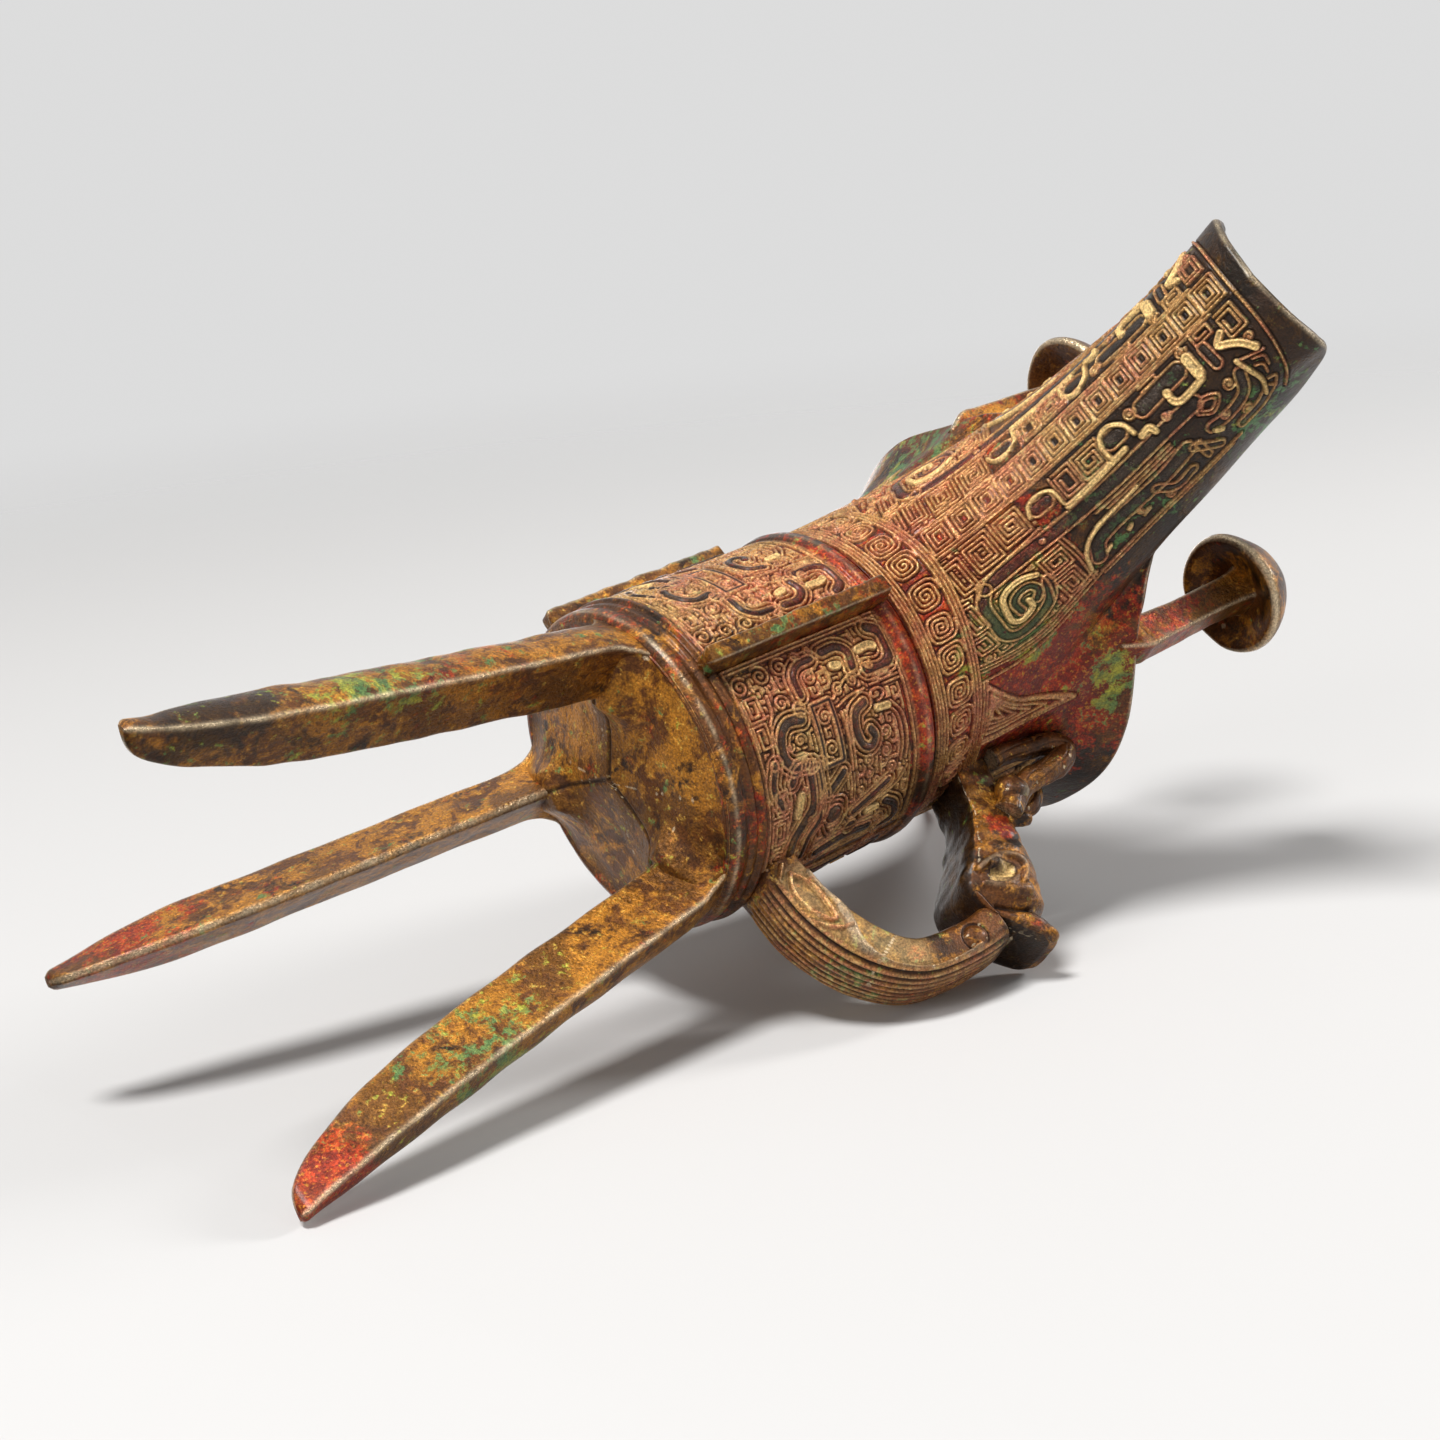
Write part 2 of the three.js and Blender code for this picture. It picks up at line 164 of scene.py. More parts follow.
def layLine(canvas, points, width=0.42, ground=False, curved=True):
    # a fine raised thread, pale on top partly as painted highlight, with a sunk line along both sides painted dark as
    # shade
    area, d = pathDistance(canvas, smoothPath(points) if curved else points, 1.2)
    if area:
        lay(canvas, "ground" if ground else "thread", area, stroke(d, width / 2, 0.13))
        lay(canvas, "groundGap" if ground else "gap", area, stroke(np.abs(d - width / 2 - 0.19), 0.1, 0.1))
        if not ground:
            lay(canvas, "near", area, stroke(d, width / 2 + 0.35))


def layBand(canvas, width, points, curved=True, threads=2):
    # a smooth raised body edged by fine threads, with the sunk lines beside them painted dark as shade
    area, d = pathDistance(canvas, smoothPath(points) if curved else points, width / 2 + 2)
    if area:
        lay(canvas, "raised", area, np.sqrt(np.clip(1 - (d / (width / 2)) ** 2, 0, 1)))
        for k in range(threads):
            away = np.abs(d - width / 2 - 0.76 * k)
            lay(canvas, "thread", area, stroke(away, 0.19, 0.11))
            lay(canvas, "gap", area, stroke(np.abs(away - 0.37), 0.1, 0.1))
        lay(canvas, "near", area, stroke(d, width / 2 + 0.76 * (threads - 1) + 0.55))


def layCream(canvas, width, points, curved=True):
    # a broad flat stroke, pale where the earth has stayed, with a painted highlight along its edge and painted shade
    # just outside it
    area, d = pathDistance(canvas, smoothPath(points) if curved else points, width / 2 + 1)
    if area:
        inside = stroke(d, width / 2, 0.14)
        for layer in ("thread", "gap", "raised"):
            canvas[layer][area] *= 1 - stroke(d, width / 2 + 0.15, 0.14)
        lay(canvas, "cream", area, inside)
        lay(canvas, "thread", area, stroke(np.abs(d - width / 2 + 0.2), 0.17, 0.1))
        lay(canvas, "gap", area, stroke(np.abs(d - width / 2 - 0.2), 0.12, 0.1))
        lay(canvas, "near", area, stroke(d, width / 2 + 0.4))


def roundSpiral(x, y, radius, turns=2.0, start=0.0, hand=1, squash=1.0, boxy=0.0):
    t = np.linspace(0, 1, int(18 * turns) + 4)
    r = radius * (1 - 0.93 * t)
    angle = start + hand * turns * 2 * pi * t
    r = r * (1 - boxy + boxy * (np.cos(angle) ** 4 + np.sin(angle) ** 4) ** -0.25)
    return np.stack([x + r * np.cos(angle), y + squash * r * np.sin(angle)], -1)


def squareSpiral(x0, y0, x1, y1, pitch=0.75, flip=False):
    left, low, right, top = x0, y0, x1, y1
    points = [(left, low)]
    while right - left > pitch * 0.7 and top - low > pitch * 0.7:
        points += [(right, low), (right, top), (left, top)]
        low += pitch
        if top - low < pitch * 0.5:
            break
        points.append((left, low))
        left, right, top = left + pitch, right - pitch, top - pitch
    points = np.array(points)
    if flip:
        points[:, 0] = x0 + x1 - points[:, 0]
    return points


def laySpirals(canvas, rounds=(), squares=(), width=0.42):
    for spiral in rounds:
        layLine(canvas, roundSpiral(*spiral), width, curved=False)
    for k, (x0, y0, x1, y1) in enumerate(squares):
        layLine(canvas, squareSpiral(x0, y0, x1, y1, flip=k % 2 == 1), width, curved=False)


def fillGround(canvas, x0, x1, y0, y1, cell=3.0, tall=None):
    # thunder pattern over the ground that the main forms leave
    tall = tall or cell
    row, y = 0, y0
    while y + tall <= y1 + 0.01:
        x, k = x0 + (row % 2) * cell * 0.3, 0
        while x + cell <= x1 + 0.01:
            layLine(canvas, squareSpiral(x + 0.1, y + 0.1, x + cell - 0.28, y + tall - 0.28, flip=(k + row) % 2 == 1),
                    0.4, ground=True, curved=False)
            x, k = x + cell, k + 1
        y, row = y + tall, row + 1


def finishCanvas(canvas, lift=0.6, thread=0.36, gap=0.3, cream=0.36):
    free = 1 - canvas["near"]
    canvas["raised"] *= 1 - canvas["thread"]
    threads = np.maximum(canvas["thread"], canvas["ground"] * free)
    gaps = np.maximum(canvas["gap"], canvas["groundGap"] * free) * (1 - threads) * (1 - canvas["cream"])
    canvas["height"] = (lift * canvas["raised"] + thread * threads - gap * gaps
                        + cream * canvas["cream"] * (1 - 0.5 * threads))
    canvas["thread"], canvas["gap"] = threads, gaps
    return canvas


def readCanvas(canvas, layer, x, y):
    tall, wide = canvas["shape"]
    u = np.clip((x - canvas["x0"]) / canvas["step"], 0, wide - 1.001)
    v = np.clip((y - canvas["y0"]) / canvas["step"], 0, tall - 1.001)
    i, j = u.astype(int), v.astype(int)
    fu, fv = u - i, v - j
    a = canvas[layer]
    return ((a[j, i] * (1 - fu) + a[j, i + 1] * fu) * (1 - fv) + (a[j + 1, i] * (1 - fu) + a[j + 1, i + 1] * fu) * fv)


def makePiece(name, points, faces, slot, replaced=(), marks=None):
    # points in millimetres about the cup's axis; faces as arrays of quads and of triangles
    points = np.asarray(points, float) + (axisX, axisY, 0)
    mesh = bpy.data.meshes.new(name)
    mesh.vertices.add(len(points))
    mesh.vertices.foreach_set("co", (points * 0.001).ravel())
    corners = np.concatenate([np.asarray(f).ravel() for f in faces])
    sizes = np.concatenate([np.full(len(f), np.shape(f)[1]) for f in faces])
    mesh.loops.add(len(corners))
    mesh.loops.foreach_set("vertex_index", corners)
    mesh.polygons.add(len(sizes))
    mesh.polygons.foreach_set("loop_start", np.concatenate([[0], np.cumsum(sizes)[:-1]]))
    smoothFaces = np.concatenate([np.full(len(f), np.shape(f)[1] == 4) for f in faces])
    mesh.polygons.foreach_set("use_smooth", smoothFaces)
    mesh.update(calc_edges=True)
    mesh.validate()
    for mark in ("thread", "gap", "raised", "cream", "wearAndHighlight", "seam", "red", "green", "gold", "dark"):
        values = markSpots(points - (axisX, axisY, 0), mark) if mark in spots else np.zeros(len(points))
        if marks and mark in marks:
            values[:np.size(marks[mark])] = np.ravel(marks[mark])
        mesh.attributes.new(mark, "FLOAT", "POINT").data.foreach_set("value", values)
    piece = bpy.data.objects.new(name, mesh)
    bpy.context.scene.collection.objects.link(piece)
    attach(piece, "root")
    mesh.materials.append(bronzes[slot])
    if replaced:
        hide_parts(*replaced)
    return piece


def quadGrid(rows, columns, wrap=False, start=0, flip=False):
    index = start + np.arange(rows * columns).reshape(rows, columns)
    if wrap:
        index = np.hstack([index, index[:, :1]])
    quads = np.stack([index[:-1, :-1], index[:-1, 1:], index[1:, 1:], index[1:, :-1]], -1).reshape(-1, 4)
    return quads[:, ::-1] if flip else quads


def closedShell(outer, inner, skip):
    # the fine outer grid and a coarser inner one, stitched along their four edges
    rows, columns = outer.shape[:2]
    count = rows * columns
    fine = np.arange(count).reshape(rows, columns)
    coarse = count + np.arange(inner.shape[0] * inner.shape[1]).reshape(inner.shape[:2])
    faces = [quadGrid(rows, columns), quadGrid(*inner.shape[:2], start=count, flip=True)]
    edges = [(fine[0, ::-1], coarse[0, ::-1]), (fine[-1], coarse[-1]), (fine[:, 0], coarse[:, 0]),
             (fine[::-1, -1], coarse[::-1, -1])]
    fan = []
    half = skip // 2
    for f, c in edges:
        for k in range(len(c) - 1):
            for j in range(skip):
                fan.append((f[k * skip + j + 1], f[k * skip + j], c[k] if j < half else c[k + 1]))
            fan.append((f[k * skip + half], c[k], c[k + 1]))
    points = np.concatenate([outer.reshape(-1, 3), inner.reshape(-1, 3)])
    return points, faces + [np.array(fan)]


def closedSweep(rings):
    # rings of points, wrapped round and closed at both ends by a small cap
    n, m = rings.shape[:2]
    points = np.concatenate([rings.reshape(-1, 3), rings[:1].mean(1), rings[-1:].mean(1)])
    around = np.arange(m)
    low = np.stack([np.full(m, n * m), (around + 1) % m, around], -1)
    top = np.stack([np.full(m, n * m + 1), (n - 1) * m + around, (n - 1) * m + (around + 1) % m], -1)
    return points, [quadGrid(n, m, wrap=True), low, top]


def facingOut(piece):
    # turns a closed piece's faces outward if it came out inside out
    mesh = piece.data
    co = np.empty(len(mesh.vertices) * 3)
    mesh.vertices.foreach_get("co", co)
    mesh.calc_loop_triangles()
    tri = np.empty(len(mesh.loop_triangles) * 3, int)
    mesh.loop_triangles.foreach_get("vertices", tri)
    a, b, c = (co.reshape(-1, 3)[tri.reshape(-1, 3)[:, k]] for k in range(3))
    if np.einsum("ij,ij->i", a, np.cross(b, c)).sum() < 0:
        mesh.flip_normals()
    return piece
# old bronze: brown and ochre metal under patches of green and red, pale earth in the grooves; the narrow sunk lines
# beside threads are painted dark as shade, and thread tops and edges are pale partly as painted highlight
colours = dict(dark=(32, 21, 11), brown=(104, 60, 22), ochre=(190, 126, 38), gold=(242, 194, 88), green=(84, 130, 74),
               lime=(168, 172, 60), red=(124, 28, 12), scarlet=(200, 60, 20), cream=(248, 212, 142), tan=(216, 162, 96),
               rose=(208, 130, 92), slate=(72, 60, 50), shadow=(26, 12, 7), paleWearHighlight=(226, 204, 168))


def linear(name):
    return [((v / 255 + 0.055) / 1.055) ** 2.4 if v > 10 else v / 255 / 12.92 for v in colours[name]] + [1]


def addNode(tree, kind, *inputs, **settings):
    node = tree.nodes.new("ShaderNode" + kind)
    for key, value in settings.items():
        setattr(node, key, value)
    for place, value in zip(range(len(inputs)), inputs):
        feed(tree, node.inputs[place], value)
    return node


def feed(tree, socket, value):
    if isinstance(value, bpy.types.NodeSocket):
        tree.links.new(value, socket)
    elif value is not None:
        socket.default_value = value


def number(tree, operation, *values):
    return addNode(tree, "Math", *values, operation=operation).outputs[0]


def smooth(tree, value, low, high):
    node = addNode(tree, "MapRange", interpolation_type="SMOOTHSTEP")
    for place, item in zip((0, 1, 2), (value, low, high)):
        feed(tree, node.inputs[place], item)
    return node.outputs[0]


def blend(tree, share, first, second, mode="MIX"):
    node = addNode(tree, "Mix", data_type="RGBA", blend_type=mode)
    for place, item in ((0, share), (6, first), (7, second)):
        feed(tree, node.inputs[place], item)
    return node.outputs[2]


def noise(tree, place, scale, detail=5, rough=0.6, distortion=0.0):
    node = addNode(tree, "TexNoise")
    for key, item in (("Vector", place), ("Scale", scale), ("Detail", detail), ("Roughness", rough),
                      ("Distortion", distortion)):
        feed(tree, node.inputs[key], item)
    return node.outputs[0]


def makePatina():
    # one finish for the whole cup; each material gives its own amounts
    tree = bpy.data.node_groups.new("oldBronze", "ShaderNodeTree")

    def operation(name):
        return lambda first, second: number(tree, name, first, second)

    mathWords = ("ADD", "SUBTRACT", "MULTIPLY", "MAXIMUM", "MINIMUM")
    plus, minus, times, larger, smaller = (operation(word) for word in mathWords)
    tree.interface.new_socket("Position", in_out="INPUT", socket_type="NodeSocketVector")
    for name in ("Ochre", "Green", "Red", "Depth", "Edge", "Thread", "Gap", "Raised", "Cream", "Wear And Highlight", "Seam",
                 "Red Spots", "Green Spots", "Gold Spots", "Dark Stain And Shade"):
        tree.interface.new_socket(name, in_out="INPUT", socket_type="NodeSocketFloat")
    tree.interface.new_socket("Color", in_out="OUTPUT", socket_type="NodeSocketColor")
    for name in ("Roughness", "Metal", "Height"):
        tree.interface.new_socket(name, in_out="OUTPUT", socket_type="NodeSocketFloat")
    get = tree.nodes.new("NodeGroupInput").outputs
    out = tree.nodes.new("NodeGroupOutput").inputs
    place = get["Position"]
    broad = noise(tree, place, 95, 5, 0.62, 0.4)
    patch = noise(tree, place, 170, 7, 0.68, 0.8)
    speck = noise(tree, place, 620, 6, 0.7)
    grain = noise(tree, place, 2600, 3, 0.6)
    other = noise(tree, addNode(tree, "VectorMath", place, (0.31, 0.17, 0.23)).outputs[0], 130, 6, 0.7, 0.6)
    third = noise(tree, addNode(tree, "VectorMath", place, (-0.2, 0.4, 0.11)).outputs[0], 210, 7, 0.72, 0.5)

    base = blend(tree, smooth(tree, plus(broad, times(get["Ochre"], 0.08)), 0.38, 0.6), linear("dark"), linear("brown"))
    ochre = smooth(tree, plus(patch, times(minus(speck, 0.5), 0.55)),
                   minus(0.64, times(get["Ochre"], 0.3)), minus(0.82, times(get["Ochre"], 0.3)))
    base = blend(tree, ochre, base, linear("ochre"))
    age = noise(tree, place, 42, 3, 0.5, 0.6)
    shade = smooth(tree, plus(age, times(minus(patch, 0.5), 0.7)), 0.5, 0.62)
    base = blend(tree, times(shade, 0.75), base, blend(tree, speck, linear("dark"), linear("brown")))
    # gold specks; the gold spot on the near mouth wall stands for painted glints
    gold = times(smooth(tree, speck, 0.58, 0.7), smooth(tree, plus(plus(third, get["Gold Spots"]),
                                                                   times(get["Ochre"], 0.12)), 0.48, 0.7))
    base = blend(tree, gold, base, linear("gold"))
    # dark patches from noise and the dark marks; the marks also carry painted shade on the head's lower side
    dusk = smooth(tree, plus(plus(other, times(get["Dark Stain And Shade"], 0.4)), times(patch, 0.3)), 0.72, 0.86)
    base = blend(tree, times(dusk, 0.85), base, linear("dark"))

    redShare = plus(other, plus(times(get["Red"], 0.3), times(get["Red Spots"], 0.55)))
    redShare = plus(redShare, times(minus(speck, 0.5), 0.7))
    redShare = minus(redShare, times(get["Dark Stain And Shade"], 0.22))
    redColour = blend(tree, smooth(tree, plus(speck, minus(third, 0.5)), 0.42, 0.66), linear("red"), linear("scarlet"))
    redColour = blend(tree, times(smooth(tree, noise(tree, place, 1300, 3, 0.6), 0.56, 0.66), 0.7), redColour,
                      linear("ochre"))
    base = blend(tree, times(smooth(tree, redShare, 0.68, 0.86), 0.85), base, redColour)
    greenShare = plus(third, plus(times(get["Green"], 0.3), times(get["Green Spots"], 0.5)))
    greenShare = plus(greenShare, times(minus(speck, 0.5), 0.9))
    greenColour = blend(tree, smooth(tree, plus(patch, times(get["Gold Spots"], 0.3)), 0.5, 0.66),
                        linear("green"), linear("lime"))
    base = blend(tree, times(smooth(tree, greenShare, 0.74, 0.84), 0.85), base, greenColour)

    # high forms are dark and smooth from handling, their slate partly a painted grey sheen; threads are pale on top,
    # earth colour with painted highlight, and the sunk lines beside them are painted dark as shade
    slate = blend(tree, smooth(tree, patch, 0.36, 0.6), linear("dark"), linear("slate"))
    base = blend(tree, times(get["Raised"], 0.7), base, slate)
    # painted shade: the sunk lines take the shadow colour
    base = blend(tree, times(get["Gap"], 0.92), base, linear("shadow"))
    earthAndHighlight = blend(tree, smooth(tree, broad, 0.38, 0.62), linear("tan"), linear("rose"))
    earthAndHighlight = blend(tree, smooth(tree, speck, 0.45, 0.72), earthAndHighlight, linear("cream"))
    paleShare = smooth(tree, plus(patch, times(grain, 0.35)), 0.42, 0.66)
    paleShare = plus(0.4, times(paleShare, 0.5))
    # thread tops painted pale: earth colour and painted highlight
    base = blend(tree, times(get["Thread"], paleShare), base, earthAndHighlight)
    base = blend(tree, times(get["Cream"], plus(0.45, times(smooth(tree, speck, 0.3, 0.6), 0.5))),
                 base, linear("cream"))
    # edges found by Pointiness and the marked edges turn pale: partly rubbed metal, partly painted highlight
    edge = plus(get["Edge"], times(minus(speck, 0.5), 0.04))
    clear = times(minus(1.0, get["Seam"]), minus(1.0, times(get["Thread"], 0.8)))
    wearAndHighlight = times(smooth(tree, edge, 0.54, 0.62), clear)
    wearAndHighlight = larger(times(wearAndHighlight, plus(0.35, times(patch, 0.8))), get["Wear And Highlight"])
    base = blend(tree, times(smaller(wearAndHighlight, 1.0), 0.82), base, linear("paleWearHighlight"))
    fine = blend(tree, 1.0, base, blend(tree, smooth(tree, grain, 0.3, 0.7), (0.55, 0.55, 0.55, 1), (1.3, 1.3, 1.3, 1)),
                 "MULTIPLY")
    feed(tree, out["Color"], fine)

    rough = plus(0.2, times(speck, 0.34))
    rough = minus(rough, times(larger(get["Raised"], get["Thread"]), 0.1))
    rough = plus(rough, times(larger(get["Gap"], get["Cream"]), 0.3))
    feed(tree, out["Roughness"], minus(rough, times(wearAndHighlight, 0.12)))
    feed(tree, out["Metal"], plus(0.5, times(wearAndHighlight, 0.3)))
    pits = addNode(tree, "TexVoronoi")
    feed(tree, pits.inputs["Vector"], place)
    feed(tree, pits.inputs["Scale"], 900)
    holes = smooth(tree, pits.outputs["Distance"], 0.12, 0.4)
    height = plus(times(speck, 0.7), times(grain, 0.22))
    height = plus(height, times(holes, times(smooth(tree, patch, 0.45, 0.6), 0.25)))
    feed(tree, out["Height"], times(height, get["Depth"]))
    return tree


finishes = dict(
    body_bronze=dict(Ochre=0.5, Green=0.34, Red=0.6, Depth=1.0, coat=0.2),
    leg_bronze=dict(Ochre=0.84, Green=0.4, Red=0.2, Depth=1.0, coat=0.1),
    flange_bronze=dict(Ochre=0.75, Green=0.5, Red=0.1, Depth=1.0, coat=0.1),
    post_bronze=dict(Ochre=0.85, Green=0.3, Red=0.6, Depth=1.0, coat=0.1),
    cap_bronze=dict(Ochre=0.6, Green=0.2, Red=0.2, Depth=0.7, coat=0.15),
    handle_bronze=dict(Ochre=0.6, Green=0.34, Red=0.3, Depth=0.9, coat=0.15))


def makeBronze(name, patina):
    b = finishes[name]
    material = bpy.data.materials.new("old_" + name)
    material.use_nodes = True
    tree = material.node_tree
    shader = tree.nodes["Principled BSDF"]
    group = tree.nodes.new("ShaderNodeGroup")
    group.node_tree = patina
    coordinates = tree.nodes.new("ShaderNodeTexCoord")
    tree.links.new(coordinates.outputs["Object"], group.inputs["Position"])
    geometry = tree.nodes.new("ShaderNodeNewGeometry")
    tree.links.new(geometry.outputs["Pointiness"], group.inputs["Edge"])
    for key in ("Ochre", "Green", "Red", "Depth"):
        group.inputs[key].default_value = b[key]
    for mark, key in (("thread", "Thread"), ("gap", "Gap"), ("seam", "Seam"), ("raised", "Raised"), ("cream", "Cream"),
                      ("wearAndHighlight", "Wear And Highlight"), ("red", "Red Spots"),
                      ("green", "Green Spots"), ("gold", "Gold Spots"), ("dark", "Dark Stain And Shade")):
        attribute = addNode(tree, "Attribute", attribute_name=mark)
        tree.links.new(attribute.outputs["Fac"], group.inputs[key])
    bump = tree.nodes.new("ShaderNodeBump")
    bump.inputs["Strength"].default_value = 0.85
    bump.inputs["Distance"].default_value = 0.0005
    tree.links.new(group.outputs["Height"], bump.inputs["Height"])
    tree.links.new(bump.outputs[0], shader.inputs["Normal"])
    tree.links.new(group.outputs["Color"], shader.inputs["Base Color"])
    tree.links.new(group.outputs["Roughness"], shader.inputs["Roughness"])
    tree.links.new(group.outputs["Metal"], shader.inputs["Metallic"])
    shader.inputs["Specular IOR Level"].default_value = 0.35
    shader.inputs["Coat Weight"].default_value = b["coat"]
    shader.inputs["Coat Roughness"].default_value = 0.2
    return material


patina = makePatina()
bronzes = {name: makeBronze(name, patina) for name in finishes}

# where the cup is most red, green, gold or dark: x, y, z, reach in millimetres, and how much
spots = dict(
    red=[(0, -43, 4, 10, 1.1), (-24, -16, 140, 12, 0.55), (-28, 4, 138, 9, 0.5), (-40, -6, 150, 12, 0.35),
         (-14, -26, 152, 16, 0.35), (-23, -26, 160, 14, 0.3), (-23, -24, 180, 12, 0.25), (37, 22, 14, 14, 0.7),
         (-37, 21, 60, 16, 0.4), (-26, 9, 122, 9, 0.9), (-27, -8, 112, 9, 0.45), (-30, -10, 142, 10, 0.7),
         (-36, 20, 155, 14, 0.5),
         (0, -52, 125, 5, 0.5), (-20, -20, 128, 7, 0.3)],
    green=[(-32, -16, 150, 7, 0.9), (-52, -14, 165, 12, 0.3), (0, -37, 40, 14, 0.4), (-38, 22, 42, 16, 0.4),
           (-20, -30, 168, 8, 0.6), (-16, 30, 160, 16, 0.5), (-70, -12, 184, 8, 0.5), (-24, -13, 143, 6, 0.4),
           (0, -46, 103, 8, 0.4)],
    # the first gold spot, on the near mouth wall, is painted glint as fine bright specks
    gold=[(-14, -30, 152, 13, 0.9), (0, -41, 20, 7, 0.9), (0, -34, 60, 22, 0.35), (-36, 22, 30, 20, 0.35),
          (0, 0, 86, 26, 0.25), (-10, -24, 102, 12, 0.3)],
    dark=[(-38, 20, 12, 16, 0.6), (8, -30, 155, 18, 0.9), (-60, -10, 172, 26, 1.0), (-78, -4, 188, 20, 0.9),
          (-84, 0, 192, 14, 0.6), (-6, -56, 134, 10, 0.5)])


def markSpots(points, name):
    total = np.zeros(len(points))
    for x, y, z, reach, amount in spots[name]:
        total += amount * np.exp(-(((points - (x, y, z)) / reach) ** 2).sum(-1))
    return np.clip(total, 0, 1.2)
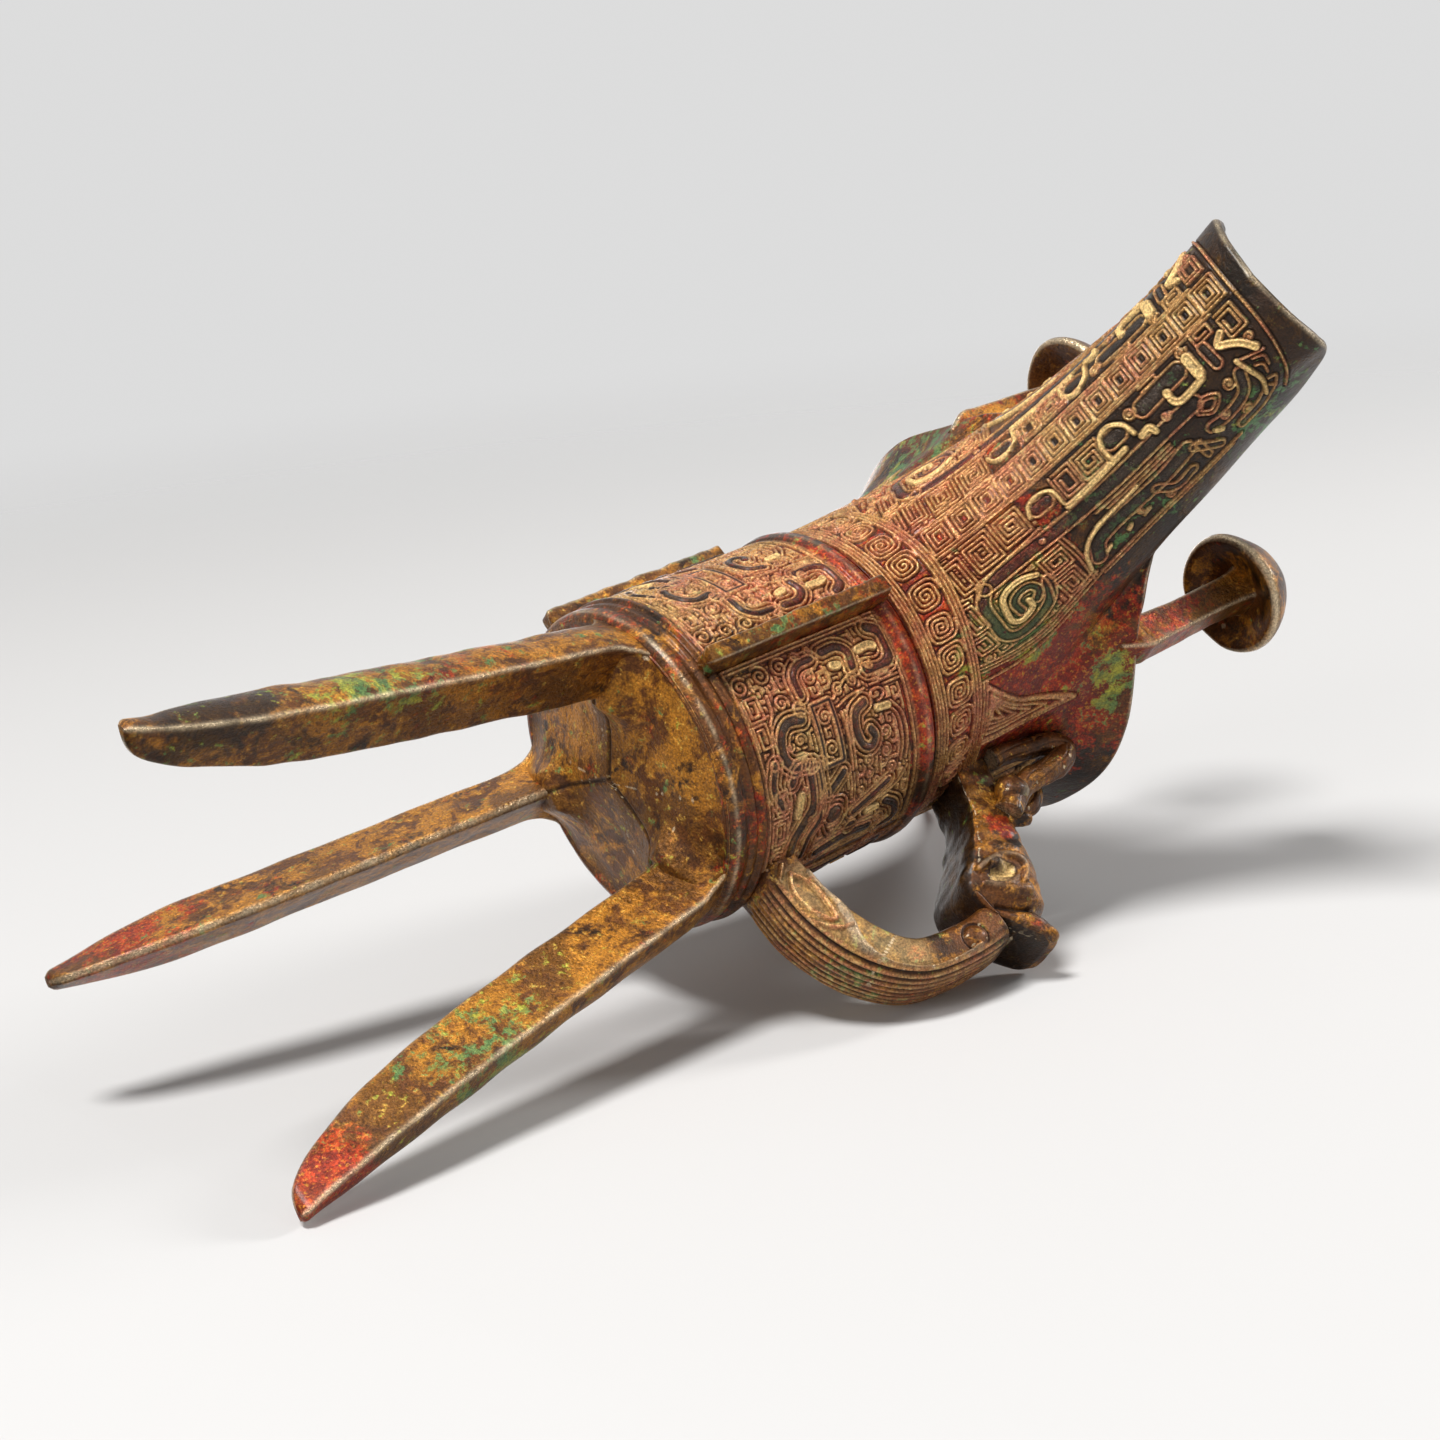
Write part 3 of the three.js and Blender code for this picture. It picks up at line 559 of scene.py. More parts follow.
# the belly: four quarters of one half mask, from a flange to the handle or the back flange
belly = dict(profile=[(26.0, 88.0), (26.8, 88.3), (27.4, 88.9), (27.7, 89.6), (27.75, 90.6), (27.4, 91.2), (27.3, 91.8),
                      (27.75, 92.3), (27.8, 92.9), (27.35, 93.4), (27.7, 93.8), (28.2, 94.1), (28.25, 94.6),
                      (27.6, 95.1),
                      (27.55, 96.0), (27.1, 128.1), (27.2, 128.5), (27.75, 129.0), (28.05, 130.2), (27.95, 131.3),
                      (27.3, 132.0), (26.4, 132.3), (26.2, 133.0)],
             inner=[(24.4, 88.8), (24.6, 95.0), (25.4, 100.0), (24.5, 133.0)],
             fineStep=0.17, plainStep=0.2, skip=3, sag=4.0, legSwell=3.2, quarter=42.6, bottomRadius=26.75,
             bottomHeight=88.3,
             seamCentre=(-1.0, -0.3),
             bands=[(1.5, [(4, 125.2), (5.2, 126.8), (7.6, 127.2), (9.8, 126.6), (10.8, 124.5), (10.3, 121.6)]),
                    (1.3, [(5, 114.6), (5, 117.6), (6.5, 119.3), (9, 119)]),
                    (1.2, [(15, 118.5), (16, 116.3), (19, 115.6), (21.5, 116.5), (22.3, 118), (21, 119.2),
                           (19.6, 118.5)]),
                    (1.1, [(5.2, 112), (5.5, 109), (7, 107.4), (10, 107.2)]),
                    (1.3, [(13.5, 105.6), (13.2, 102.7), (14.6, 100.9), (18, 100.3), (19.9, 101.6), (20.3, 104)]),
                    (1.6, [(21, 105), (28, 105), (31, 102.6), (33.6, 101), (40, 101)]),
                    (0.9, [(21.5, 106.9), (30.5, 106.8), (34, 104.4), (38, 103.6)]),
                    (1.1, [(20.8, 105.5), (20.7, 102.4), (22.6, 100.8)]),
                    (1.2, [(24.5, 111.6), (27, 108.3)]),
                    (1.3, [(34, 121.5), (36, 124), (39, 124.6), (40.5, 122)]),
                    (1.1, [(33, 114.2), (31.3, 118), (29.8, 121.4)]),
                    (1.5, [(38.6, 118.6), (38.2, 113), (39.2, 107.5)]),
                    (1.0, [(26, 98.6), (22, 97), (18.6, 98.2)])],
             panel=[(12.3, 108.2), (22.4, 108.2), (22.4, 112.0), (12.3, 112.0), (12.3, 108.2)],
             bosses=[(12, 106, 1.15), (31.6, 109.6, 1.9), (36.4, 114.2, 1.4), (18.6, 98, 0.8)],
             eye=[(27.6, 107.2), (29, 111.9), (33, 112.3), (36.2, 109.6), (32, 107.2), (27.6, 107.2)],
             spirals=[(4.6, 106, 1.7, 1.8, 2.2, 1), (4.7, 101.9, 1.8, 1.8, 3.6, -1), (5.2, 97.4, 1.8, 1.8, 2.2, 1),
                      (4, 109.5, 1.0, 1.4, 1, 1), (3.8, 112.5, 1.0, 1.4, 1, -1), (9.6, 122, 1.1, 1.5, 4, -1),
                      (11, 118, 1.2, 1.6, 2, 1), (11.5, 114.6, 1.2, 1.6, 2, 1), (14.5, 121.5, 1.2, 1.5, 0, 1, 1.6),
                      (16.5, 104.3, 1.15, 1.6, 1, 1), (17, 102, 0.8, 1.2, 2, -1), (7.9, 110.2, 1.2, 1.6, 2, -1),
                      (21, 121.6, 1.25, 1.7, 0, 1), (24.2, 121.2, 1.2, 1.7, 3, -1), (27.4, 122, 1.2, 1.6, 0, 1),
                      (24.5, 117.2, 1.1, 1.5, 0, 1), (26.9, 117.2, 1.0, 1.5, 3, -1), (28.7, 118.6, 0.9, 1.4, 0, 1),
                      (29.3, 115.2, 0.9, 1.4, 0, 1), (14.6, 110.2, 1.5, 1.9, 3, 1), (19.8, 110.0, 1.6, 1.9, 0, -1),
                      (10, 103.2, 1.4, 1.7, 1, 1), (24.6, 103.4, 0.9, 1.4, 1, -1), (35.6, 97.8, 1.6, 1.8, 1, 1),
                      (40, 97.8, 1.6, 1.8, 3, -1), (37.4, 120.6, 1.3, 1.6, 1, 1), (30.2, 104.2, 0.6, 1, 1, 1)],
             squares=[(7.4, 96.2, 11.2, 99.2), (11.8, 96.2, 15.6, 98.8), (23, 96.4, 27.2, 99.6),
                      (28, 96.4, 32.6, 99.6)],
             lines=[[(1.8, 95.6), (1.8, 128)], [(2.5, 95.6), (2.5, 128)], [(1.8, 127.7), (42, 127.7)],
                    [(1.8, 128.4), (42, 128.4)], [(1.8, 95.7), (42, 95.7)],
                    [(9.6, 119.8), (10.2, 117), (12.6, 113)], [(13, 119.6), (13.2, 116), (14, 113.4)],
                    [(11.4, 120.9), (11.4, 127)], [(12.1, 121), (12.1, 127)], [(12.8, 121), (12.8, 127)],
                    [(13.5, 123.6), (13.5, 127)],
                    [(15, 114.5), (25, 114.5)], [(15, 113.8), (25, 113.8)], [(25, 113.2), (30, 113.4)],
                    [(25, 112.5), (28, 112.7)],
                    [(6.6, 114.8), (6.8, 117), (8, 117.8), (9.4, 117.2)], [(7, 112.2), (7.2, 110.4)],
                    [(8, 101.2), (11, 100.8), (12.4, 99.8), (16, 99.2)], [(21.5, 100), (26, 100.4), (30, 99.9)],
                    [(16.5, 124), (19, 125.8), (23, 126.2), (27, 125.4)],
                    [(16.5, 122.6), (19, 124.7), (23, 125.1), (27, 124.2)],
                    [(28.5, 125.8), (31, 124), (32.4, 121), (33, 118)], [(41.2, 96), (41.2, 127.4)],
                    [(40.5, 96), (40.5, 127.4)]],
             cream=[(1.5, [(6.9, 121.4), (6.8, 123.8), (7.2, 124.6)]), (1.5, [(7.7, 115.4), (7.9, 116.4)]),
                    (1.4, [(25.2, 102.5), (28.6, 101.6)]), (1.3, [(16.8, 121), (17, 123.2)]),
                    (1.2, [(34.6, 117.4), (34.4, 119.6)])])


def bellyCanvas():
    c = newCanvas(0, 43, 94, 130)
    for width, points in belly["bands"]:
        layBand(c, width * 1.45, points)
    layBand(c, 0.9, belly["panel"], curved=False, threads=1)
    layLine(c, belly["eye"], 0.42)
    for x, y, radius in belly["bosses"]:
        layBand(c, radius * 2, [(x, y), (x + 0.01, y)], curved=False, threads=1)
    for line in belly["lines"]:
        layLine(c, line)
    laySpirals(c, belly["spirals"], belly["squares"])
    for width, points in belly["cream"]:
        layCream(c, width, points)
    fillGround(c, 2.9, 40.6, 96, 127.4, cell=2.55)
    return finishCanvas(c)
# the three blade legs
legs = dict(rootHeight=6.5, rootSpread=9.0, topRadius=26.6, soleRadius=43.2, width=9.2, depth=11.0, soleWidth=3.2,
            soleDepth=2.7, taperHeight=40.0,
            widthTaper=24.0, flare=1.14, crown=1.1, edge=0.72, bottom=88.0, angles=(150, 30, 270))


def legSection(width, depth, crown):
    # outer face bowed, sides flat, a narrow ridge inward; corners eased
    half, edge = width / 2, min(legs["edge"], width * 0.3)
    face = [(crown * width / 9.2 * (1 - (k / 5) ** 2), half * k / 5) for k in range(-5, 6)]
    corners = np.array([(-depth, -edge)] + face + [(-depth, edge)])
    rounded = []
    n = len(corners)
    for k in range(n):
        p, q, r = corners[k - 1], corners[k], corners[(k + 1) % n]
        sharp = k in (0, 1, n - 2, n - 1)
        ease = 0.55 if sharp else 0.2
        a = q + (p - q) * min(0.45, ease / max(np.linalg.norm(p - q), 1e-6))
        b = q + (r - q) * min(0.45, ease / max(np.linalg.norm(r - q), 1e-6))
        for t in ((0, 0.33, 0.67, 1) if sharp else (0.5,)):
            rounded.append(a * (1 - t) ** 2 + 2 * q * t * (1 - t) * 0.92 + b * t ** 2 + q * 2 * t * (1 - t) * 0.08)
    outline = np.array(rounded + rounded[:1])
    along = np.concatenate([[0], np.cumsum(np.linalg.norm(np.diff(outline, axis=0), axis=1))])
    wanted = np.linspace(0, along[-1], 97)[:-1]
    return np.stack([np.interp(wanted, along, outline[:, k]) for k in (0, 1)], -1)


def buildLegs():
    b = legs
    for number, turn in enumerate(b["angles"], 1):
        levels = np.concatenate([[0.0, 0.12, 0.35, 0.7, 1.2], np.arange(1.8, 90.2, 0.5)])
        rings, edges = [], []
        for z in levels:
            share = np.clip(z / b["bottom"], 0, 1)
            r = b["soleRadius"] - (b["soleRadius"] - b["topRadius"]) * share ** (1 / b["flare"])
            depth = b["soleDepth"] + (b["depth"]
                                      - b["soleDepth"]) * np.sqrt(max(0, 1 - (1 - min(1, z / b["taperHeight"])) ** 2))
            width = b["soleWidth"] + (b["width"] - b["soleWidth"]) * sin(min(1, z / b["widthTaper"]) * pi / 2)
            near = np.clip(1 - (b["bottom"] + 0.6 - z) / b["rootHeight"], 0, 1)
            root = (1 - np.sqrt(1 - near ** 2)) * b["rootSpread"]
            section = legSection(width + root, depth + root * 0.4, b["crown"] * (1 - near))
            corners = np.array([(0, width / 2 + root / 2), (0, -width / 2 - root / 2), (-depth - root * 0.4, 0)])
            fromCorner = np.linalg.norm(section[:, None] - corners, axis=-1).min(1)
            # pale along the blade's three edges: partly wear, partly painted highlight
            edges.append(np.exp(-(fromCorner / 0.55) ** 2) * (0.85 + 0.3 * sin(z * 0.9) * sin(z * 0.23 + number)))
            tip = 1 - 0.45 * (1 - np.clip(z / 1.2, 0, 1)) ** 2     # blunt rounded tip
            middle = section.mean(0)
            section = middle + (section - middle) * tip
            section[:, 0] += 0.05 * np.sin(z * 0.5 + number)
            bend = section[:, 1] / r * min(1, root / 1.5)      # the root follows the round of the cup
            out = r + section[:, 0]
            rings.append(np.column_stack([out * np.cos(bend), out * np.sin(bend) + section[:, 1]
                                          * (1 - min(1, root / 1.5)), np.full(len(section), z)]))
        rings = roughened(np.array(rings), 0.13, 11, number, (1, 1, 0))
        points, faces = closedSweep(turnedBy(rings, turn))
        facingOut(makePiece("leg_%d_blade" % number, points, faces, "leg_bronze", ["leg_%d" % number],
                            dict(wearAndHighlight=np.array(edges))))
    print("legs made")


# posts with a broad faced cap each
posts = dict(at=23.2, halfGap=24.2, lean=-0.02, capRadius=10.9, capBase=198.0)


def buildPosts():
    b = posts
    for side, word in ((-1, "near"), (1, "far")):
        levels = [(168.8, 0.8), (172.3, 1.12), (175.5, 1.04), (181, 0.98), (190, 0.94), (197, 0.95), (199.5, 1.08),
                  (201.5, 1.3)]
        z = np.linspace(168.8, 201.5, 80)
        grow = np.interp(z, *np.array(levels).T) * 3.1
        turn = np.linspace(0, 2 * pi, 96, endpoint=False)
        square = np.power(np.abs(np.cos(turn)) ** 7 + np.abs(np.sin(turn)) ** 7, -1 / 7)
        rings = np.array([np.column_stack([-b["at"] + g * square * np.cos(turn),
                                           side * (b["halfGap"] + b["lean"] * (h - 171.8) - max(0, 174 - h) * 0.3)
                                           + g * square * np.sin(turn),
                                           np.full(96, h)]) for h, g in zip(z, grow)])
        rings = roughened(rings, 0.1, 7, 11, (1, 1, 0))
        points, faces = closedSweep(rings)
        # pale on the post's corners: partly wear, partly painted highlight
        corner = np.exp(-((np.abs(np.cos(turn)) - np.abs(np.sin(turn))) / 0.12) ** 2) * 0.8
        facingOut(makePiece(word + "_post_bar", points, faces, "post_bronze", [word + "_post"],
                            dict(wearAndHighlight=np.repeat(corner[None], 80, 0))))
        a = np.linspace(pi / 2, 0, 40)
        top = [(b["capRadius"] * cos(t) * (1 - 0.12 * sin(2 * t)), 1.4 + 8.8 * sin(t)) for t in a]
        under = [(10.75, 0.7), (10.45, 0.3), (9.9, 0.12), (9.2, 0.35), (7.5, 1.3), (6, 2.1), (3, 2.5), (0.3, 2.6)]
        profile = np.array([(0.02, 10.2)] + top[1:] + [tuple(p) for p in smoothPath(under, 0.3)])
        n = 128
        turn = np.linspace(0, 2 * pi, n, endpoint=False)
        cap = np.stack([profile[:, :1] * np.cos(turn), profile[:, :1] * np.sin(turn), np.repeat(profile[:, 1:], n, 1)],
                       -1)
        cap = cap + (-b["at"], side * (b["halfGap"] + b["lean"] * 26.2), b["capBase"])
        cap = cap + (0.15 * waviness(cap, 9, 4))[..., None] * unit(cap - cap.mean((0, 1)))
        points, faces = closedSweep(cap)
        # pale on the cap's rim: partly wear, partly painted highlight
        lip = np.exp(-((profile[:, 1] - 0.7) / 0.6) ** 2) * (profile[:, 0] > 9.8)
        facingOut(makePiece(word + "_post_button", points, faces, "cap_bronze", [word + "_post_cap"],
                            dict(wearAndHighlight=np.repeat(lip[:, None], n, 1))))
    print("posts made")


# the three cast flanges on the belly
flanges = dict(low=93.0, top=131.0, out=32.1, root=26.4, width=3.2)


def buildFlanges():
    b = flanges
    for name, turn in (("front", 180), ("back", 90), ("tail", 0)):
        z = np.linspace(b["low"], b["top"], 260)
        n = 64
        t = np.linspace(0, 2 * pi, n, endpoint=False)
        square = np.power(np.abs(np.cos(t)) ** 8 + np.abs(np.sin(t)) ** 8, -1 / 8)
        middle, halfDeep = (b["out"] + b["root"]) / 2, (b["out"] - b["root"]) / 2
        rings = []
        for h in z:
            end = min(h - b["low"], b["top"] - h)
            ease = 1 - 0.3 * max(0, 1 - end / 0.5) ** 2
            x = halfDeep * square * np.cos(t) * ease
            y = b["width"] / 2 * square * np.sin(t) * ease
            rings.append(np.column_stack([middle + x, y, np.full(n, h)]))
        rings = roughened(np.array(rings), 0.16, 5, turn + 1, (1, 1, 0))
        points, faces = closedSweep(turnedBy(rings, turn))
        # pale on the flange's corners: partly wear, partly painted highlight
        corner = np.exp(-((np.abs(np.cos(t)) - np.abs(np.sin(t))) / 0.1) ** 2) * 0.6
        facingOut(makePiece(name + "_flange_bar", points, faces, "flange_bronze", [name + "_flange"],
                            dict(wearAndHighlight=np.repeat(corner[None], len(z), 0))))
    print("flanges made")


# the handle: a strap that ends in a beast's head with two looped horns
strap = dict(line=[(-25.4, 98.5), (-36.7, 99.7), (-46.5, 104.4), (-51.6, 110.6), (-52.9, 119.7), (-52.3, 128)],
             half=3.8, wide=6.7, grooves=(-5.4, -4.0, -2.6, -1.2, 1.2, 2.6, 4.0, 5.4), knob=(41.5, 0.2, 2.1),
             rim=[(6, -3.2), (12, -3.1), (16, -1.6), (19.5, 0.9), (24, 2.6), (30, 3.0), (36, 2.9), (41, 2.6)],
             loop=[(2.5, 0.4), (5, 2.6), (10, 2.9), (15, 1.6), (17.6, -0.4)],
             innerLoop=[(4.4, 0.1), (7, 1.6), (11, 1.6), (15, 0.1), (11.4, -1.5), (7.4, -1.6), (4.4, 0.1)])


def sweepAlong(path, section, across=(1, 0, 0)):
    # section columns: across the strap, outward from it; one per ring
    path = np.asarray(path, float)
    way = unit(np.gradient(path, axis=0))
    across = np.asarray(across, float)
    out = unit(np.cross(way, across))
    return path[:, None] + section[..., :1] * across + section[..., 1:2] * out[:, None]


def nearPath(u, w, points):
    return distanceTo(u, w, smoothPath(points, 0.8))


def hump(distance, half):
    return np.sqrt(np.clip(1 - (distance / half) ** 2, 0, 1))


def buildStrap():
    b = strap
    line = smoothPath([(0, y, z) for y, z in b["line"]], 0.2)
    n = 200
    t = np.linspace(0, 2 * pi, n, endpoint=False)
    power = np.where(np.sin(t) > 0, 3.0, 6.0)
    body = np.power(np.abs(np.cos(t)) ** power + np.abs(np.sin(t)) ** power, -1 / power)
    x = b["wide"] * body * np.cos(t)
    w = b["half"] * body * np.sin(t)
    along = np.concatenate([[0], np.cumsum(np.linalg.norm(np.diff(line, axis=0), axis=1))])
    u, across = np.meshgrid(along, w, indexing="ij")
    outside = (np.sin(t) > 0.35)[None] * ramp(u, 3, 6) * ramp(u, along[-1], along[-1] - 3)
    d = np.abs(x[None] - np.array(b["grooves"])[:, None]).min(0)[None]
    groove = stroke(d, 0.22, 0.16) * outside
    ribs = stroke(np.abs(d - 0.6), 0.16, 0.2) * outside
    flat = ramp(np.abs(x), b["wide"] * 0.9, b["wide"] * 0.97)[None] * np.ones_like(u)
    rim = hump(nearPath(u, across, b["rim"]), 1.0)
    loop = np.minimum(nearPath(u, across, b["loop"]), nearPath(u, across, b["innerLoop"]))
    loopLine = stroke(loop, 0.3, 0.14)
    knob = hump(np.hypot(u - b["knob"][0], across - b["knob"][1]), b["knob"][2])
    ring = stroke(np.abs(np.hypot(u - b["knob"][0], across - b["knob"][1]) - b["knob"][2] - 0.35), 0.18, 0.12)
    side = flat * (0.8 * rim + 0.6 * loopLine + 0.9 * knob - 0.3 * ring - 0.15 * stroke(np.abs(loop - 0.4), 0.12, 0.12))
    bulge = (0.15 * ribs - 0.5 * groove)[..., None]
    share = u / along[-1]
    swell = 1 + 0.16 * np.sin(np.clip(share * 1.5, 0, 1) * pi) ** 2 - 0.05 * share
    section = np.stack([x[None] * (1 - 0.04 * share) + np.sign(x)[None] * side, across * swell + bulge[..., 0]], -1)
    rings = sweepAlong(line, section, (-1, 0, 0))
    rings = roughened(rings, 0.1, 8, 21)
    field = flat * (1 - np.maximum(rim, knob > 0)) * ramp(u, 2, 5) * ramp(u, 34, 30)
    # grooves and the knob's ring are painted dark as shade; ribs and loop lines are pale partly as painted highlight;
    # the rim band gets slate and pale edge colour, partly painted sheen and highlight
    marks = dict(gap=np.maximum(groove, flat * ring), thread=np.maximum(ribs * 0.9, flat * loopLine),
                 cream=0.3 * field * (1 - loopLine),
                 raised=0.5 * flat * rim, wearAndHighlight=0.5 * flat * rim)
    points, faces = closedSweep(rings)
    facingOut(makePiece("handle_band", points, faces, "handle_bronze", ["handle_strap"], marks))


head = dict(top=143.6, drop=22.6, out=33.0, root=26.5,
            rings=[(-.03, 0, .15, 4.4, 5.96), (.16, .08, .3, 4.4, 5.96), (.36, .22, .5, 5.2, 7.2),
                   (.53, .37, .62, 6.8, 8.4),
                   (.67, .5, .62, 8, 8.06), (.77, .55, .5, 5.76, 6.8), (.87, .475, .4, 4.1, 6.9),
                   (.965, .38, .3, 2.3, 6.2),
                   (1, .36, .3, 1.0, 4.6)],
            horn=[(-36.6, 142.4), (-34.6, 145.6), (-33.4, 149), (-33, 154.5), (-32.2, 158.8), (-30.6, 160.4),
                  (-28.9, 158.4), (-28, 154.2),
                  (-27.1, 149.3), (-26.9, 146)],
            eye=(-46.0, 132.4), pupil=(-44.5, 132.3), brow=[(-43.6, 128.8), (-43.0, 132.6), (-43.9, 136.0),
                                                            (-46.4, 137.6), (-48.9, 135.4)],
            lid=[(-46.4, 128.6), (-48.0, 131), (-48.0, 134.2)], cheek=[(-49.5, 132.4), (-50.3, 135.2)],
            fold=[(-50.2, 128.4), (-51.8, 130.6), (-53.2, 133.6)],
            mouthLine=[(-53.4, 126.6), (-54.8, 129.6), (-57.6, 132.2)],
            collars=[[(-46.4, 124.6), (-52, 126.0)], [(-47.0, 126.2), (-51.4, 127.6)]],
            ear=[(6.9, -33.6, 145.5), (2.6, 2.9, 3.0)],
            tuft=[(4.6, -36.8, 142.6), (5.0, -37.9, 144.4), (5.2, -38.6, 145.6), (5.2, -39.2, 146.6)])


def buildHead():
    b = head
    rings = smoothPoint(b["rings"], np.linspace(0, 1, 250))
    n = 240
    t = np.linspace(0, 2 * pi, n, endpoint=False)
    c, s = np.cos(t), np.sin(t)
    power = np.where(s > 0, 0.72, 0.3)       # eased above, sharp-edged below
    shape = []
    for share, drop, tilt, tall, wide in rings:
        x = wide * np.sign(c) * np.abs(c) ** power
        h = tall * np.sign(s) * np.abs(s) ** power
        y0, z0 = -b["root"] - b["out"] * share, b["top"] - b["drop"] * drop
        shape.append(np.column_stack([x, y0 - h * sin(tilt), z0 + h * cos(tilt)]))
    p = np.array(shape)
    y, z = p[..., 1], p[..., 2]
    flat = ramp(np.abs(p[..., 0]), 3.6, 6.2)
    fromEye = np.hypot((y - b["eye"][0]) / 1.5, (z - b["eye"][1]) / 2.7)
    eye = hump(fromEye, 1)
    eyeLine = stroke(np.abs(fromEye - 1) * 2, 0.35, 0.3)
    ball = hump(np.hypot(y - b["pupil"][0], z - b["pupil"][1]), 1.1)
    brow = hump(nearPath(y, z, b["brow"]), 0.65)
    lid = hump(nearPath(y, z, b["lid"]), 0.65)
    cheek = hump(nearPath(y, z, b["cheek"]), 1.5)
    fold = np.minimum(nearPath(y, z, b["fold"]), nearPath(y, z, b["mouthLine"]))
    collar = np.min([nearPath(y, z, line) for line in b["collars"]], axis=0)
    lift = 0.75 * brow + 0.6 * lid + 0.9 * cheek + 1.7 * ball - 0.75 * (eye > 0) * np.sqrt(eye + 0.001)
    lift = lift - 0.8 * np.exp(-(fold / 0.45) ** 2) + 0.35 * stroke(collar, 0.3, 0.2)
    p[..., 0] += np.sign(p[..., 0]) * lift * flat
    spine = np.array([b["top"] - b["drop"] * ring[1] for ring in rings])[:, None]
    middle = np.exp(-(p[..., 0] / 1.1) ** 2) * ramp(y, -40, -43) * ramp(y, -56, -53) * (p[..., 2] > spine)
    p[..., 2] += 0.6 * middle                 # a low ridge down the face
    p = roughened(p, 0.22, 5, 31)
    # creases, the eye's outline and the pupil's ring are painted dark as shade; brow and lid carry a little painted
    # highlight
    marks = dict(cream=0.8 * flat * (eye > 0.15) * (ball < 0.05), raised=flat * np.maximum(1.2 * ball, 0.6 * cheek),
                 gap=flat * np.clip(np.exp(-(fold / 0.35) ** 2) + stroke(np.abs(collar - 0.5), 0.12, 0.12) + 0.8
                                    * eyeLine + stroke(np.abs(np.hypot(y - b["pupil"][0], z - b["pupil"][1]) - 1.1),
                                                       0.15, 0.15), 0, 1),
                 wearAndHighlight=0.2 * flat * np.clip(brow ** 3 + lid ** 4, 0, 1),
                 # the head's lower side is painted dark as shade
                 dark=np.repeat(1.2 * ramp(-s, 0.5, 0.8)[None], len(p), 0),
                 red=0.9 * np.exp(-(((p - (-6, -38, 139)) / 2.6) ** 2).sum(-1)), seam=0.9 * flat * ramp(y, -42, -43))
    points, faces = closedSweep(p)
    facingOut(makePiece("beast_mask", points, faces, "handle_bronze", ["beast_head"], marks))
    for side, word in ((-1, "left"), (1, "right")):
        path = smoothPath([(side * 6.8, y, z) for y, z in b["horn"]], 0.2)
        share = np.linspace(0, 1, len(path))
        radius = 2.25 * (1 - 0.2 * share) * (1 + 0.15 * np.exp(-((share - 0.45) / 0.12) ** 2))
        t = np.linspace(0, 2 * pi, 72, endpoint=False)
        curl = 0.16 * stroke(np.abs(np.sin(3.5 * t[None] + 9 * share[:, None])), 0.2, 0.15)    # twisted flutes
        section = (radius[:, None] - curl)[..., None] * np.stack([np.cos(t), np.sin(t)], -1)
        rings = sweepAlong(path, section)
        rings = roughened(rings, 0.16, 4, 41)
        points, faces = closedSweep(rings)
        # the twisted flutes are painted dark as shade
        facingOut(makePiece(word + "_horn_loop", points, faces, "handle_bronze", [word + "_horn"],
                            dict(gap=(curl > 0.08) * 0.5, red=0 * curl, dark=0 * curl)))
        u = np.linspace(0.03, 0.97, 40)[:, None] * pi
        ball = np.stack([np.cos(u) + 0 * t, np.sin(u) * np.cos(t), np.sin(u) * np.sin(t)], -1)
        rings = ball * b["ear"][1] + np.array(b["ear"][0]) * (side, 1, 1)
        rings = rings + (0.2 * waviness(rings, 4, 51))[..., None] * ball
        points, faces = closedSweep(rings)
        # the ear's upper side is painted pale as a highlight
        plain = dict(red=0 * rings[..., 0], dark=0.3 + 0 * rings[..., 0],
                     wearAndHighlight=0.5 * ramp(ball[..., 2] - ball[..., 1], 0.4, 1.3))
        facingOut(makePiece(word + "_ear", points, faces, "handle_bronze", ["beast_head"], plain))
        path = smoothPath([(side * x, y, z) for x, y, z in b["tuft"]], 0.15)
        grow = np.interp(np.linspace(0, 1, len(path)), (0, 0.3, 0.7, 0.93, 1), (1.7, 1.6, 1.5, 1.1, 0.4))
        section = grow[:, None, None] * np.stack([np.cos(t), np.sin(t) * 0.85], -1)
        rings = sweepAlong(path, section)
        points, faces = closedSweep(rings)
        facingOut(makePiece(word + "_tuft", points, faces, "handle_bronze", ["beast_head"],
                            dict(dark=0 * rings[..., 0])))
    print("handle and head made")
def ringRadius(profile, z):
    r, h = np.array(profile).T
    return np.interp(z, h, r)


